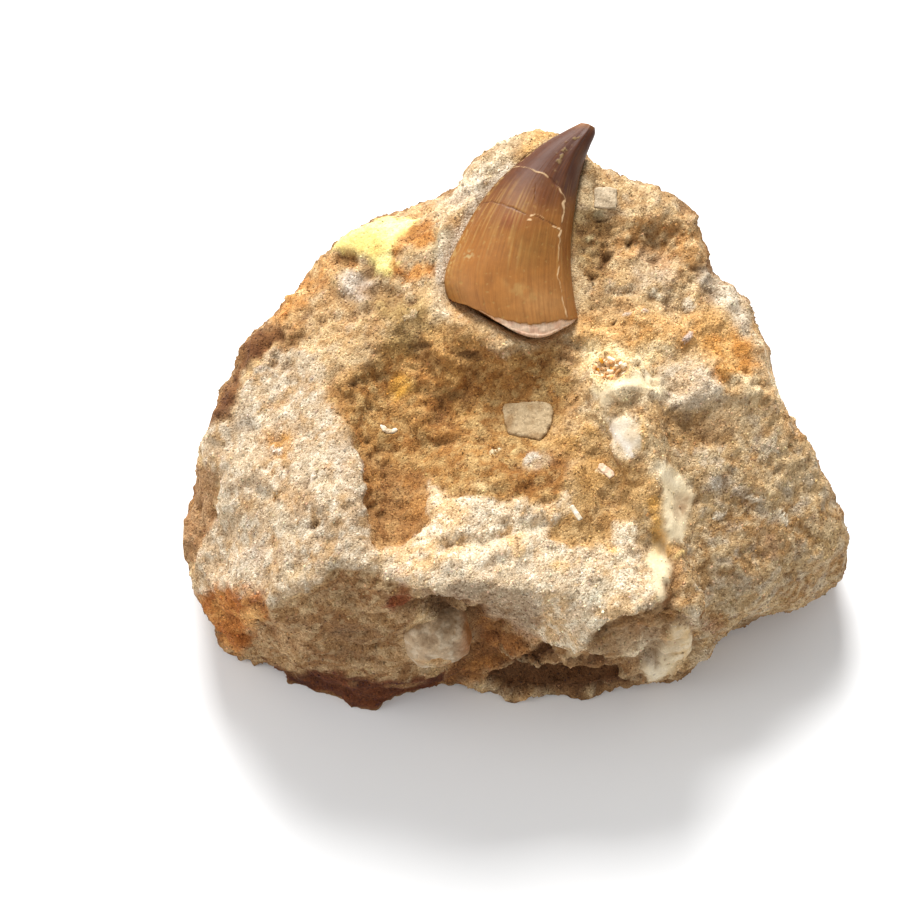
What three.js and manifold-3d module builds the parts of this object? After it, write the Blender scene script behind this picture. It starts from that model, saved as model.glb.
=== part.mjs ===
// Fossil mosasaur tooth in its block of phosphatic sandstone. The block lies on a flat bedding
// face with the crown in relief on its upper face, so +Z is up, +X runs along the block's length
// and +Y runs from the low front lip to the high back rim. All sizes are in millimetres.
// The block is one solid: the convex hull of its corners, with hollows scooped out of it, ridges
// added, and the lumps of broken sandstone over all of it. The crown and the other pieces that
// the sand buried sit in pockets cut to their own shape.
import * as THREE from "three";
import { ConvexHull } from "three/addons/math/ConvexHull.js";
import { ImprovedNoise } from "three/addons/math/ImprovedNoise.js";
import { mergeVertices } from "three/addons/utils/BufferGeometryUtils.js";
import Module from "manifold-3d";

const wasm = await Module();
wasm.setup();

const POCKET_GAP = 0.3; // clearance between a buried piece and the stone around it

// ---- Signed distances: negative inside, positive outside ----

const v3 = (x, y, z) => new THREE.Vector3(x, y, z);
const perlin = new ImprovedNoise();

// Smooth noise of about -1 to 1 whose lumps are `size` wide; `shift` picks another pattern.
const lumps = (p, size, shift = 0) =>
  1.4 * perlin.noise(p.x / size + shift, p.y / size + 0.37 * shift, p.z / size - shift);

const smoothMax = (a, b, blend) => {
  const share = Math.max(blend - Math.abs(a - b), 0) / blend;
  return Math.max(a, b) + (share * share * blend) / 4;
};
const smoothMin = (a, b, blend) => -smoothMax(-a, -b, blend);

// The convex block that has these corners.
function block(corners) {
  const hull = new ConvexHull().setFromPoints(corners.map((c) => v3(...c)));
  const planes = hull.faces.map((face) => ({ normal: face.normal, constant: face.constant }));
  return (p) => Math.max(...planes.map((plane) => plane.normal.dot(p) - plane.constant));
}

// An ellipsoid, turned about +Z by `turn` degrees.
function ellipsoid([x, y, z], [rx, ry, rz], turn = 0) {
  const angle = THREE.MathUtils.degToRad(-turn);
  const [cos, sin] = [Math.cos(angle), Math.sin(angle)];
  return (p) => {
    const [dx, dy, dz] = [p.x - x, p.y - y, p.z - z];
    const q = v3(cos * dx - sin * dy, sin * dx + cos * dy, dz);
    const reach = Math.hypot(q.x / rx, q.y / ry, q.z / rz);
    const slope = Math.hypot(q.x / rx ** 2, q.y / ry ** 2, q.z / rz ** 2);
    return slope > 0 ? (reach * (reach - 1)) / slope : -Math.min(rx, ry, rz);
  };
}

// A round bar through the points, each given as [x, y, z, radius].
function bar(...points) {
  const spans = points.slice(1).map((end, i) => [points[i], end]);
  return (p) =>
    Math.min(
      ...spans.map(([[ax, ay, az, ar], [bx, by, bz, br]]) => {
        const [start, along] = [v3(ax, ay, az), v3(bx - ax, by - ay, bz - az)];
        const t = p.clone().sub(start).dot(along) / along.lengthSq();
        const share = THREE.MathUtils.clamp(t, 0, 1);
        return p.distanceTo(start.addScaledVector(along, share)) - (ar + (br - ar) * share);
      }),
    );
}

// ---- The block of sandstone ----

const blockCorners = [
  // back rim, from left to right
  [-28, 60.5, 35], [-17.4, 59.5, 38], [-12.1, 64.5, 40], [-7.5, 71, 43],
  [-3, 72, 43.5], [4.9, 77, 44], [10.9, 69, 42], [18.7, 68, 41],
  [26, 63.5, 39], [28.9, 59, 38],
  // right side, from back to front
  [34, 51, 35], [37.4, 41, 31], [41, 35, 27], [49.2, 24.2, 20],
  [51.8, 19.6, 15], [51.4, 17, 11], [45, 13, 5],
  // left side, from back to front, and the crest of the left slab above it
  [-37.9, 53, 30], [-41.3, 51.6, 22], [-46.4, 41, 20], [-48.2, 35, 20], [-50.2, 26.8, 15],
  [-50.7, 22.7, 13], [-49.6, 18.5, 11], [-49, 11.5, 13], [-47, 8.5, 9],
  [-33.3, 45.3, 33.5], [-39.4, 44, 31.5], [-46, 33.5, 27.5],
  // front lip and the corner of white calcite
  [-47.6, 11, 17], [-37.2, 5.2, 26], [-27.4, 8, 33.5], [-22.3, 9, 35], [-13.5, 4, 34],
  [-3.3, 5, 33.5], [0.5, 4, 32], [10.3, -2, 24.5], [19.5, 1.6, 28], [21, -2, 10],
  // foot
  [-42.9, 7.5, -2], [-31, 4.6, -2], [-26.6, -1.2, -2], [-5.9, 3.6, -2], [13.4, 1, -2],
  [28, 8, -2], [48, 27, -2], [38, 49, -2], [28, 69, -2], [5, 77, -2], [-20, 72, -2],
  [-38, 58, -2], [-49, 30, -2],
  // bulge of the back
  [31, 61, 16], [2, 78, 18], [-38, 55, 14],
];

const hollows = [
  { name: "bowl below the crown", shape: ellipsoid([-3, 30, 50], [21, 13.5, 16.8]), blend: 3 },
  { name: "front shelf", shape: ellipsoid([1, 12, 72], [26, 26, 39]), blend: 2 },
  { name: "trough beside the left flank", shape: bar([-19, 36, 40, 7.5], [-16.5, 22, 38.2, 6.8], [-20, 5, 37.5, 5]), blend: 2 },
  { name: "notch behind the left slab", shape: ellipsoid([-45, 51, 31], [12, 6, 7], 35), blend: 2 },
  { name: "undercut of the front lip", shape: ellipsoid([-2, 0, 23.5], [10, 5.5, 7.5], -8), blend: 2 },
  { name: "recess over the foot", shape: ellipsoid([4.5, -2.5, 9.5], [14, 8, 6.5]), blend: 2 },
  { name: "niche around the nodule", shape: ellipsoid([-9.5, 0, 17], [8.5, 4.5, 9]), blend: 2 },
  { name: "recess of the left foot", shape: ellipsoid([-12, -3, 3], [10, 6, 8]), blend: 3 },
  { name: "pit beside the crown", shape: ellipsoid([12.5, 56, 43], [2.6, 4.2, 4]), blend: 2 },
  { name: "furrow right of the calcite", shape: bar([24, 26, 38, 3], [27.5, 10, 27, 3], [31, 2, 18, 4]), blend: 3 },
  { name: "saddle left of the crown", shape: ellipsoid([-19, 71.5, 45], [11, 11, 12], 25), blend: 3 },
  { name: "gap right of the tip", shape: ellipsoid([14, 79, 45], [7.5, 10.5, 12]), blend: 2 },
  { name: "dent in the right side", shape: ellipsoid([47.5, 42, 31], [10, 10, 13], 25), blend: 3 },
  { name: "hollow under the right slope", shape: ellipsoid([37, 2, 3], [12, 9, 11], 20), blend: 3 },
];

const ridges = [
  { name: "bank left of the crown", shape: bar([-13, 48, 37.5, 3], [-9.5, 60, 40.5, 2.5], [2, 74, 43.5, 2]), blend: 3 },
  { name: "seat of the crown", shape: ellipsoid([-1, 46, 33.8], [12, 7, 7]), blend: 3 },
  { name: "calcite ridge", shape: bar([15, 35, 36, 4], [19.5, 19, 32, 4], [23, 8, 25, 4], [20.5, 2.5, 11, 3.5]), blend: 3 },
];

const WARP_SIZE = 19;
const WARP_DEPTH = 1.2;

// Distance to the weathered stone at p, before anything is set into it.
function sandstone(p) {
  const warped = v3(
    p.x + WARP_DEPTH * lumps(p, WARP_SIZE, 11),
    p.y + WARP_DEPTH * lumps(p, WARP_SIZE, 23),
    p.z + WARP_DEPTH * lumps(p, WARP_SIZE, 37),
  );
  let distance = blockShape(warped);
  for (const { shape, blend } of ridges) distance = smoothMin(distance, shape(warped), blend);
  for (const { shape, blend } of hollows) distance = smoothMax(distance, -shape(warped), blend);
  return distance + 0.7 * lumps(p, 10, 3) + 0.45 * lumps(p, 5, 7);
}
const blockShape = block(blockCorners);

// ---- Skinning: naive surface nets over a grid ----

// A closed geometry of the surface where distance is 0, with one vertex in each cell it crosses.
function skin(distance, low, high, step) {
  const cells = high.clone().sub(low).divide(step).ceil();
  const [nx, ny, nz] = [cells.x + 1, cells.y + 1, cells.z + 1];
  const corner = (i, j, k) => v3(i, j, k).multiply(step).add(low);
  const at = (i, j, k) => i + nx * (j + ny * k);
  const value = new Float64Array(nx * ny * nz);
  for (let k = 0; k < nz; k++)
    for (let j = 0; j < ny; j++)
      for (let i = 0; i < nx; i++) value[at(i, j, k)] = distance(corner(i, j, k));

  untangle(value, [nx, ny, nz]);

  const edges = [];
  for (const [a, b] of [[0, 1], [0, 2], [0, 4], [1, 3], [1, 5], [2, 3], [2, 6], [3, 7], [4, 5], [4, 6], [5, 7], [6, 7]])
    edges.push([[a & 1, (a >> 1) & 1, a >> 2], [b & 1, (b >> 1) & 1, b >> 2]]);

  const vertexOf = new Map();
  const positions = [];
  for (let k = 0; k < nz - 1; k++)
    for (let j = 0; j < ny - 1; j++)
      for (let i = 0; i < nx - 1; i++) {
        const sum = v3(0, 0, 0);
        let crossings = 0;
        for (const [[ax, ay, az], [bx, by, bz]] of edges) {
          const from = value[at(i + ax, j + ay, k + az)];
          const to = value[at(i + bx, j + by, k + bz)];
          if (from < 0 === to < 0) continue;
          sum.add(corner(i + ax, j + ay, k + az).lerp(corner(i + bx, j + by, k + bz), from / (from - to)));
          crossings++;
        }
        if (!crossings) continue;
        vertexOf.set(at(i, j, k), positions.length / 3);
        positions.push(...settle(sum.divideScalar(crossings), distance, step));
      }

  const index = [];
  const vertex = (n) => v3().fromArray(positions, 3 * n);
  const apart = (m, n) => vertex(m).distanceTo(vertex(n));
  const face = (a, b, c, d, flipped) => {
    const [p, q, r, s] = (flipped ? [a, d, c, b] : [a, b, c, d]).map((cell) => vertexOf.get(cell));
    if (apart(p, r) < apart(q, s)) index.push(p, q, r, p, r, s);
    else index.push(p, q, s, q, r, s);
  };
  for (let k = 1; k < nz - 1; k++)
    for (let j = 1; j < ny - 1; j++)
      for (let i = 1; i < nx - 1; i++) {
        const inside = value[at(i, j, k)] < 0;
        if (inside !== value[at(i + 1, j, k)] < 0)
          face(at(i, j - 1, k - 1), at(i, j, k - 1), at(i, j, k), at(i, j - 1, k), !inside);
        if (inside !== value[at(i, j + 1, k)] < 0)
          face(at(i - 1, j, k - 1), at(i - 1, j, k), at(i, j, k), at(i, j, k - 1), !inside);
        if (inside !== value[at(i, j, k + 1)] < 0)
          face(at(i - 1, j - 1, k), at(i, j - 1, k), at(i, j, k), at(i - 1, j, k), !inside);
      }
  return new THREE.BufferGeometry()
    .setAttribute("position", new THREE.Float32BufferAttribute(positions, 3))
    .setIndex(index);
}

// Where the corners of a grid face alternate between inside and outside, four faces of the skin
// would share an edge. The outside corner nearest the surface turns inside until none is left.
function untangle(value, [nx, ny, nz]) {
  const strides = [1, nx, nx * ny];
  for (let changed = true; changed; ) {
    changed = false;
    for (const [s, t] of [[0, 1], [1, 2], [0, 2]].map(([a, b]) => [strides[a], strides[b]]))
      for (let i = 0; i < nx * ny * nz - s - t; i++) {
        const [a, b, c, d] = [i, i + s, i + t, i + s + t];
        const inside = value[a] < 0;
        if (inside !== value[d] < 0 || inside === value[b] < 0 || inside === value[c] < 0) continue;
        const [m, n] = inside ? [b, c] : [a, d];
        value[value[m] < value[n] ? m : n] = -1e-3;
        changed = true;
      }
  }
}

// Moves a point of a cell onto the surface along the slope of the distance, by less than half a step.
function settle(point, distance, step) {
  const probe = 0.2;
  const start = point.clone();
  for (let round = 0; round < 3; round++) {
    const slope = v3(
      distance(point.clone().setX(point.x + probe)) - distance(point.clone().setX(point.x - probe)),
      distance(point.clone().setY(point.y + probe)) - distance(point.clone().setY(point.y - probe)),
      distance(point.clone().setZ(point.z + probe)) - distance(point.clone().setZ(point.z - probe)),
    ).divideScalar(2 * probe);
    point.addScaledVector(slope, -distance(point) / Math.max(slope.lengthSq(), 0.1));
  }
  const reach = step.clone().multiplyScalar(0.45);
  point.clamp(start.clone().sub(reach), start.clone().add(reach));
  return [point.x, point.y, point.z];
}

// ---- The crown ----

// The crown lies on its side. In its own frame `across` is +X, `up` runs from base to tip and
// `out` faces away from the stone. Its two edges are curves in the plane of across and up, given
// as [across, up] from base to tip, and each section between them is an ellipse with a keel.
const CROWN_BASE = v3(-1.0, 47.1, 36.6);
const CROWN_RISE = 20; // degrees that the crown rises from base to tip
const CROWN_DEPTH = 0.7; // depth of a section as a share of its width
const CROWN_BASE_BOW = 3.3; // the base line bows down by this in its middle
const KEEL_HEIGHT = 0.35;
const KEEL_ANGLE = [28, 72]; // degrees from the inner edge towards `out`, at the base and at the tip
const crownOuterEdge = [
  [-9.7, 2.2], [-10.5, 5.0], [-9.9, 7.9], [-8.2, 11.4], [-6.1, 14.6], [-3.6, 18.0],
  [-0.6, 21.3], [2.6, 24.6], [5.6, 27.2], [8.2, 29.2], [9.7, 30.2],
];
const crownInnerEdge = [
  [9.7, -0.3], [9.1, 2.8], [8.7, 6.5], [8.6, 10.3], [8.9, 14.3], [9.4, 18.0],
  [10.0, 21.3], [10.6, 24.1], [11.2, 26.2], [11.8, 28.3], [11.5, 30.0],
];

function crownGeometry() {
  const curve = (points) => new THREE.SplineCurve(points.map(([a, u]) => new THREE.Vector2(a, u)));
  const [outerEdge, innerEdge] = [curve(crownOuterEdge), curve(crownInnerEdge)];
  const rise = THREE.MathUtils.degToRad(CROWN_RISE);
  const up = v3(0, Math.cos(rise), Math.sin(rise));
  const out = v3(0, -Math.sin(rise), Math.cos(rise));

  // The sphere's rings become the crown's sections: two rings close the base, the rest taper
  // to the blunt tip.
  const [rings, slices] = [18, 32];
  const geometry = new THREE.SphereGeometry(1, slices, rings);
  const position = geometry.getAttribute("position");
  for (let i = 0; i < position.count; i++) {
    const ring = rings - Math.floor(i / (slices + 1));
    const angle = Math.PI * (1 - (2 * (i % (slices + 1))) / slices);
    const t = THREE.MathUtils.clamp((ring - 2) / (rings - 2.5), 0, 1);
    const size = [0, 0.75, 1][ring] ?? (ring === rings ? 0 : 1);
    const [outer, inner] = [outerEdge.getPoint(t), innerEdge.getPoint(t)];
    const middle = outer.clone().lerp(inner, 0.5);
    const half = inner.clone().sub(middle);
    const depth = CROWN_DEPTH * half.length();

    const keelAngle = THREE.MathUtils.degToRad(THREE.MathUtils.lerp(...KEEL_ANGLE, t));
    const fromKeel = Math.atan2(Math.sin(angle - keelAngle), Math.cos(angle - keelAngle));
    const keel = 1 + (KEEL_HEIGHT / Math.max(half.length(), 2)) * Math.exp(-((fromKeel / 0.16) ** 2));
    const [side, front] = [Math.cos(angle) * size * keel, Math.sin(angle) * size * keel];

    const bowShape = Math.sin(Math.PI * ((1 + side / keel) / 2) ** 1.25);
    const bow = CROWN_BASE_BOW * bowShape * (1 - t) ** 4;
    const dome = ring < 2 ? 0.5 : 0;
    const place = CROWN_BASE.clone()
      .addScaledVector(up, middle.y + half.y * side - bow + dome)
      .addScaledVector(out, depth * front);
    position.setXYZ(i, place.x + middle.x + half.x * side, place.y, place.z);
  }
  return geometry;
}

// ---- Solids ----

// The geometry with its shared vertices merged and each moved outwards by `gap`.
function merge(geometry, gap = 0) {
  geometry.deleteAttribute("normal");
  geometry.deleteAttribute("uv");
  const merged = mergeVertices(geometry, 1e-4);
  merged.computeVertexNormals();
  const [position, normal] = [merged.getAttribute("position"), merged.getAttribute("normal")];
  for (let i = 0; i < position.count; i++) {
    const outwards = v3().fromBufferAttribute(normal, i).multiplyScalar(gap);
    position.setXYZ(i, ...v3().fromBufferAttribute(position, i).add(outwards));
  }
  return merged;
}

function solidOf(geometry, gap) {
  const merged = merge(geometry, gap);
  return new wasm.Manifold(
    new wasm.Mesh({
      numProp: 3,
      vertProperties: new Float32Array(merged.getAttribute("position").array),
      triVerts: new Uint32Array(merged.getIndex().array),
    }),
  );
}

function geometryOf(solid) {
  const { vertProperties, triVerts } = solid.getMesh();
  const geometry = new THREE.BufferGeometry()
    .setAttribute("position", new THREE.BufferAttribute(vertProperties, 3))
    .setIndex(new THREE.BufferAttribute(triVerts, 1));
  geometry.computeVertexNormals();
  return geometry;
}

// ---- The pieces that the sand buried ----

// A flat fragment with this outline, lying face up around its own origin.
function fragment(outline, thickness) {
  const shape = new THREE.Shape(outline.map(([x, y]) => new THREE.Vector2(x, y)));
  return new THREE.ExtrudeGeometry(shape, { depth: thickness, bevelEnabled: false }).translate(0, 0, -thickness / 2);
}

// A pebble of this radius, with soft lumps on it.
function nodule(radius) {
  const geometry = new THREE.SphereGeometry(radius, 18, 12);
  const position = geometry.getAttribute("position");
  for (let i = 0; i < position.count; i++) {
    const p = v3().fromBufferAttribute(position, i);
    p.multiplyScalar(1 + 0.09 * lumps(p, 4.5, 5));
    position.setXYZ(i, p.x, p.y, p.z);
  }
  return geometry;
}

const boneChipOutline = [
  [-3.7, 2.0], [-3.4, -0.5], [-2.9, -2.0], [-1.2, -2.5], [0, -2.7], [1.8, -3.2], [2.7, -2.2],
  [3.5, -0.4], [3.8, 1.2], [3.3, 2.4], [2.2, 2.9], [-3.3, 2.6],
];
const splinterOutline = [[-1.4, 0.1], [-1.1, -0.5], [1.2, -0.6], [1.4, 0.2], [0.9, 0.55], [-1.1, 0.5]];
const shellOutline = [
  [-1.3, 0.5], [-1.0, -0.2], [-0.2, -0.6], [0.7, -0.5], [1.3, 0.1], [1.0, 0.35], [0.4, 0], [-0.3, 0], [-0.8, 0.6],
];
const clastOutline = [[-1.7, -1.5], [1.5, -1.7], [1.7, 1.4], [0.2, 1.75], [-1.6, 1.5]];

// name, geometry, position, rotation in degrees, colour, roughness
const buried = [
  ["bone_chip", fragment(boneChipOutline, 2.6), [1.1, 31.7, 32.4], [6, -4, 0], 0xcbb993, 0.85],
  ["nodule", nodule(5.3), [-12.4, 3.6, 16.7], [0, 0, 0], 0xc9bfa6, 0.55],
  ["white_spine", new THREE.CylinderGeometry(0.36, 0.36, 2.4, 10), [7.9, 16.6, 33.1], [0, 16, 34], 0xe9ddd0, 0.6],
  ["bone_splinter", fragment(splinterOutline, 1.1), [12.5, 23.2, 33.3], [0, 0, -42], 0xd3ad98, 0.7],
  ["shell_fragment", fragment(shellOutline, 0.8), [-19.8, 30.4, 32.4], [0, 18, 0], 0xe4dcd4, 0.4],
  ["grey_clast", fragment(clastOutline, 2.6), [12.9, 64.8, 41.2], [12, 0, 0], 0xa9a18c, 0.9],
];

const specimen = new THREE.Group();
function add(name, geometry, color, roughness) {
  const mesh = new THREE.Mesh(geometry, new THREE.MeshStandardMaterial({ color, roughness, metalness: 0 }));
  mesh.name = name;
  specimen.add(mesh);
  return mesh;
}

// The pockets are cut in the block's own frame, so each buried mesh is placed before it is cut.
const stoneSkin = skin(sandstone, v3(-56, -9, -9), v3(57, 87, 54), v3(2.55, 2.55, 2.8));
const belowFoot = new THREE.BoxGeometry(200, 200, 40).translate(0, 40, -20);
let stone = solidOf(stoneSkin).subtract(solidOf(belowFoot));
stone = stone.subtract(solidOf(crownGeometry(), POCKET_GAP));
for (const [name, geometry, position, rotation, color, roughness] of buried) {
  const mesh = add(name, geometryOf(solidOf(geometry.clone())), color, roughness);
  mesh.position.set(...position);
  mesh.rotation.set(...rotation.map(THREE.MathUtils.degToRad));
  mesh.updateMatrixWorld();
  stone = stone.subtract(solidOf(merge(geometry, 1.5 * POCKET_GAP).applyMatrix4(mesh.matrixWorld)));
}
const matrix = stone.decompose().sort((a, b) => b.volume() - a.volume())[0];
add("matrix", geometryOf(matrix), 0xbfa37a, 0.95);
add("tooth", geometryOf(solidOf(crownGeometry())), 0x9a5f34, 0.3);

// The origin is the middle of the resting face's level, under the centre of the block's extent.
const extent = new THREE.Box3().setFromObject(specimen);
const middle = extent.getCenter(v3());
specimen.position.set(-middle.x, -middle.y, -extent.min.z);

export default specimen;
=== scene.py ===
import math

import bmesh
import bpy
import numpy as np
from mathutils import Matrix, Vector
from mathutils.bvhtree import BVHTree


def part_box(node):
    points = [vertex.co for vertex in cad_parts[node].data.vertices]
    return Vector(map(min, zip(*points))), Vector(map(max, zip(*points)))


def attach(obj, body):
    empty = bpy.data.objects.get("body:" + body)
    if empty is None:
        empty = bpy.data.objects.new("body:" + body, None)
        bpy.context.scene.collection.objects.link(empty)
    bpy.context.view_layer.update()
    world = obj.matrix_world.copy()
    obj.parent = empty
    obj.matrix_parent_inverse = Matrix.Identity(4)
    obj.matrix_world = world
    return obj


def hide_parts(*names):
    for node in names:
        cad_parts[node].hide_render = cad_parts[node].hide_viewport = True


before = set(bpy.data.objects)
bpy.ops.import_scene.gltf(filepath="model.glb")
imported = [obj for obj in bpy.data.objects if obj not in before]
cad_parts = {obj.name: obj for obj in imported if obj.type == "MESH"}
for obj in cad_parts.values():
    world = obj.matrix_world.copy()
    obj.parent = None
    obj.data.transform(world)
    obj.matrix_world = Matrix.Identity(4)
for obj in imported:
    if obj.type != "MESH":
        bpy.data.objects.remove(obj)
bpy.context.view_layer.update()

# ---- Camera ----
# A long lens looks down on the specimen from the front, 65 degrees above the floor.
# Places in this file are in millimetres, counted so that the crown's box starts at CROWN_CORNER.
MM = 0.001
CROWN_CORNER = Vector((-11.46, 42.38, 29.40))
ORIGIN = Vector(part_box("tooth")[0]) / MM - CROWN_CORNER
EYE = (-10.6, -161.5, 437.0)
LOOK_DOWN = 65


def place(x, y, z):
    """That point of the block, in metres in the frame."""
    return (Vector((x, y, z)) + ORIGIN) * MM


lens = bpy.data.cameras.new("camera")
lens.lens = 120
lens.sensor_width = 36
lens.clip_end = 10
camera = bpy.data.objects.new("camera", lens)
camera.location = place(*EYE)
camera.rotation_euler = (math.radians(90 - LOOK_DOWN), 0, 0)
bpy.context.scene.collection.objects.link(camera)
bpy.context.scene.camera = camera

# ---- The block of sandstone ----
# One natural lump of phosphatic sandstone: pale lime-rich slabs, stained brown where water stood,
# with a vein of white calcite through its front right corner. It carries every other piece.
GRAIN_VOXEL = 0.54
# What is set in the stone, and how many millimetres each is grown by to fill its pocket.
SET_IN = {"tooth": 0.38, "bone_chip": 0.5, "nodule": 0.5, "white_spine": 0.5,
          "bone_splinter": 0.5, "shell_fragment": 0.5, "grey_clast": 0.5}
# About half the thickness of each.
HALF_THICK = {"tooth": 9, "bone_chip": 1.4, "nodule": 6, "white_spine": 0.4, "bone_splinter": 0.6,
              "shell_fragment": 0.45, "grey_clast": 1.4}


def welded(node):
    """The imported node's mesh with its shared corners joined, as a bmesh."""
    bm = bmesh.new()
    bm.from_mesh(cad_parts[node].data)
    bmesh.ops.remove_doubles(bm, verts=bm.verts, dist=1e-7)
    bm.normal_update()
    return bm


def in_block(box):
    """The box's lowest and highest corners, in millimetres of the block."""
    return [np.array(corner) / MM - np.array(ORIGIN) for corner in box]


def near(spots, box):
    """The numbers of the points that lie within 2 mm of the box."""
    low, high = in_block(box)
    return np.nonzero(((spots > low - 2) & (spots < high + 2)).all(1))[0]


def off_skin(tree, point):
    """How far the point is from the solid's skin, how far outside it (below 0 inside), and its way."""
    hit, way, _, _ = tree.find_nearest(point)
    away = (point - hit) / MM
    return away.length, away.dot(way), way


def grown_mesh(name, parts):
    """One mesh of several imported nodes, each grown outwards by its share of a millimetre."""
    mesh = bpy.data.meshes.new(name)
    joined = bmesh.new()
    for node, growth in parts.items():
        bm = welded(node)
        for vert in bm.verts:
            vert.co += vert.normal * growth * MM
        bm.to_mesh(mesh)
        bm.free()
        joined.from_mesh(mesh)
    joined.to_mesh(mesh)
    joined.free()
    return mesh


def piece_from(name, mesh, modifiers=()):
    """A linked object of that mesh, with the modifiers applied to its mesh."""
    piece = bpy.data.objects.new(name, mesh)
    bpy.context.scene.collection.objects.link(piece)
    for kind, settings in modifiers:
        modifier = piece.modifiers.new(kind.lower(), kind)
        for key, value in settings.items():
            setattr(modifier, key, value)
    if modifiers:
        settled = piece.evaluated_get(bpy.context.evaluated_depsgraph_get())
        solid = bpy.data.meshes.new_from_object(settled)
        piece.modifiers.clear()
        piece.data = solid
    return piece


def stone_piece(name, parts, grain, rounds):
    """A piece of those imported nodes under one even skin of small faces, with its edges worn soft."""
    return piece_from(name, grown_mesh(name, parts), [
        ("REMESH", {"mode": "VOXEL", "voxel_size": grain * MM}),
        ("SMOOTH", {"factor": 0.5, "iterations": rounds})])


def points_of(mesh):
    """Its vertices and their normals as arrays, in millimetres of the block."""
    spots = np.empty(3 * len(mesh.vertices))
    mesh.vertices.foreach_get("co", spots)
    ways = np.empty(3 * len(mesh.vertices))
    mesh.vertex_normals.foreach_get("vector", ways)
    return spots.reshape(-1, 3) / MM - np.array(ORIGIN), ways.reshape(-1, 3)


def put_points(mesh, spots):
    """Moves the mesh's vertices to those places, and shades its faces smooth."""
    mesh.vertices.foreach_set("co", ((spots + np.array(ORIGIN)) * MM).ravel())
    mesh.polygons.foreach_set("use_smooth", np.ones(len(mesh.polygons), bool))
    mesh.update()


def cell_numbers(cells, seed):
    """Three numbers from 0 to 1023 for each cell, always the same for that cell and seed."""
    h = (cells * (73856093, 19349663, 83492791)).sum(1) + seed * 7919
    h = (h ^ (h >> 15)) * 2246822519 & 0xFFFFFFFF
    h = (h ^ (h >> 13)) * 3266489917 & 0xFFFFFFFF
    h ^= h >> 16
    return np.stack([h & 1023, h >> 10 & 1023, h >> 20 & 1023], 1)


def lumps(spots, size, seed=0):
    """Smooth noise from about -1 to 1 at the points, in lumps that are `size` across."""
    q = spots / size + 7.31 * (seed + 1)
    cell = np.floor(q).astype(np.int64)
    f = q - cell
    ease = f ** 3 * (f * (6 * f - 15) + 10)
    total = np.zeros(len(spots))
    for corner in np.ndindex(2, 2, 2):
        slope = cell_numbers(cell + corner, seed) / 511.5 - 1
        share = np.where(corner, ease, 1 - ease).prod(1)
        total += share * (slope * (f - corner)).sum(1)
    return 1.7 * total


def drift(spots, size, seeds):
    """Smooth noise for each of three ways, to bend a pattern with."""
    return np.stack([lumps(spots, size, seed) for seed in seeds], 1)


def scallops(spots, size, seed):
    """Shallow bowls with sharp ridges between them, 0 at their bottoms and up to about 1."""
    q = spots / size + 3.7 * seed
    cell = np.floor(q).astype(np.int64)
    nearest = np.full(len(spots), 9.0)
    for step in np.ndindex(3, 3, 3):
        home = cell + step - 1
        centre = home + cell_numbers(home, seed) / 1023
        nearest = np.minimum(nearest, ((q - centre) ** 2).sum(1))
    return nearest


def smooth(x, low, high):
    """0 up to the low value, 1 from the high value on, and eased between them."""
    t = np.clip((x - low) / (high - low), 0, 1)
    return t * t * (3 - 2 * t)


def depth_inside(flat, outline):
    """How far inside that outline each flat point lies, in millimetres; less than 0 outside it."""
    nearest = np.full(len(flat), 1e9)
    odd = np.zeros(len(flat), bool)
    for (ax, ay), (bx, by) in zip(outline, outline[1:] + outline[:1]):
        along = np.array([bx - ax, by - ay])
        off = flat[:, :2] - (ax, ay)
        t = np.clip(off @ along / (along @ along), 0, 1)
        nearest = np.minimum(nearest, np.hypot(*(off - t[:, None] * along).T))
        crosses = (ay > flat[:, 1]) != (by > flat[:, 1])
        odd ^= crosses & (flat[:, 0] < ax + (bx - ax) * (flat[:, 1] - ay) / (by - ay if by != ay else 1))
    return np.where(odd, nearest, -nearest)


def blob(flat, centre, radii, turn=0, soft=0.5):
    """1 at the middle of that oval on the flat, fading to 0 at its edge."""
    a = math.radians(turn)
    off = flat[:, :2] - centre
    x = math.cos(a) * off[:, 0] + math.sin(a) * off[:, 1]
    y = -math.sin(a) * off[:, 0] + math.cos(a) * off[:, 1]
    reach = np.hypot(x / radii[0], y / radii[1])
    return 1 - smooth(reach, 1 - soft, 1)


def from_line(flat, line):
    """How far each flat point is from the polyline, in millimetres."""
    nearest = np.full(len(flat), 1e9)
    for a, b in zip(line, line[1:]):
        a, along = np.array(a), np.subtract(b, a)
        off = flat[:, :2] - a
        t = np.clip(off @ along / (along @ along), 0, 1)
        nearest = np.minimum(nearest, np.linalg.norm(off - t[:, None] * along, axis=1))
    return nearest


def along_line(flat, line, width):
    """1 on the polyline, fading to 0 at `width` mm from it."""
    return 1 - smooth(from_line(flat, line), 0, width)


# The stains, painted shade and breaks are mapped on one sloping sheet, square to the camera's line: across,
# and up.
down = math.radians(LOOK_DOWN)
SIGHT = np.array([0, math.cos(down), -math.sin(down)])
SHEET_UP = np.array([0, math.sin(down), math.cos(down)])
SHEET_AWAY = 454.5


def on_sheet(spots):
    """Where a straight look from the eye puts each point on the map sheet, in millimetres."""
    off = spots - EYE
    shrink = SHEET_AWAY / (off @ SIGHT)
    return np.stack([off[:, 0] * shrink, off @ SHEET_UP * shrink], 1)
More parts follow.
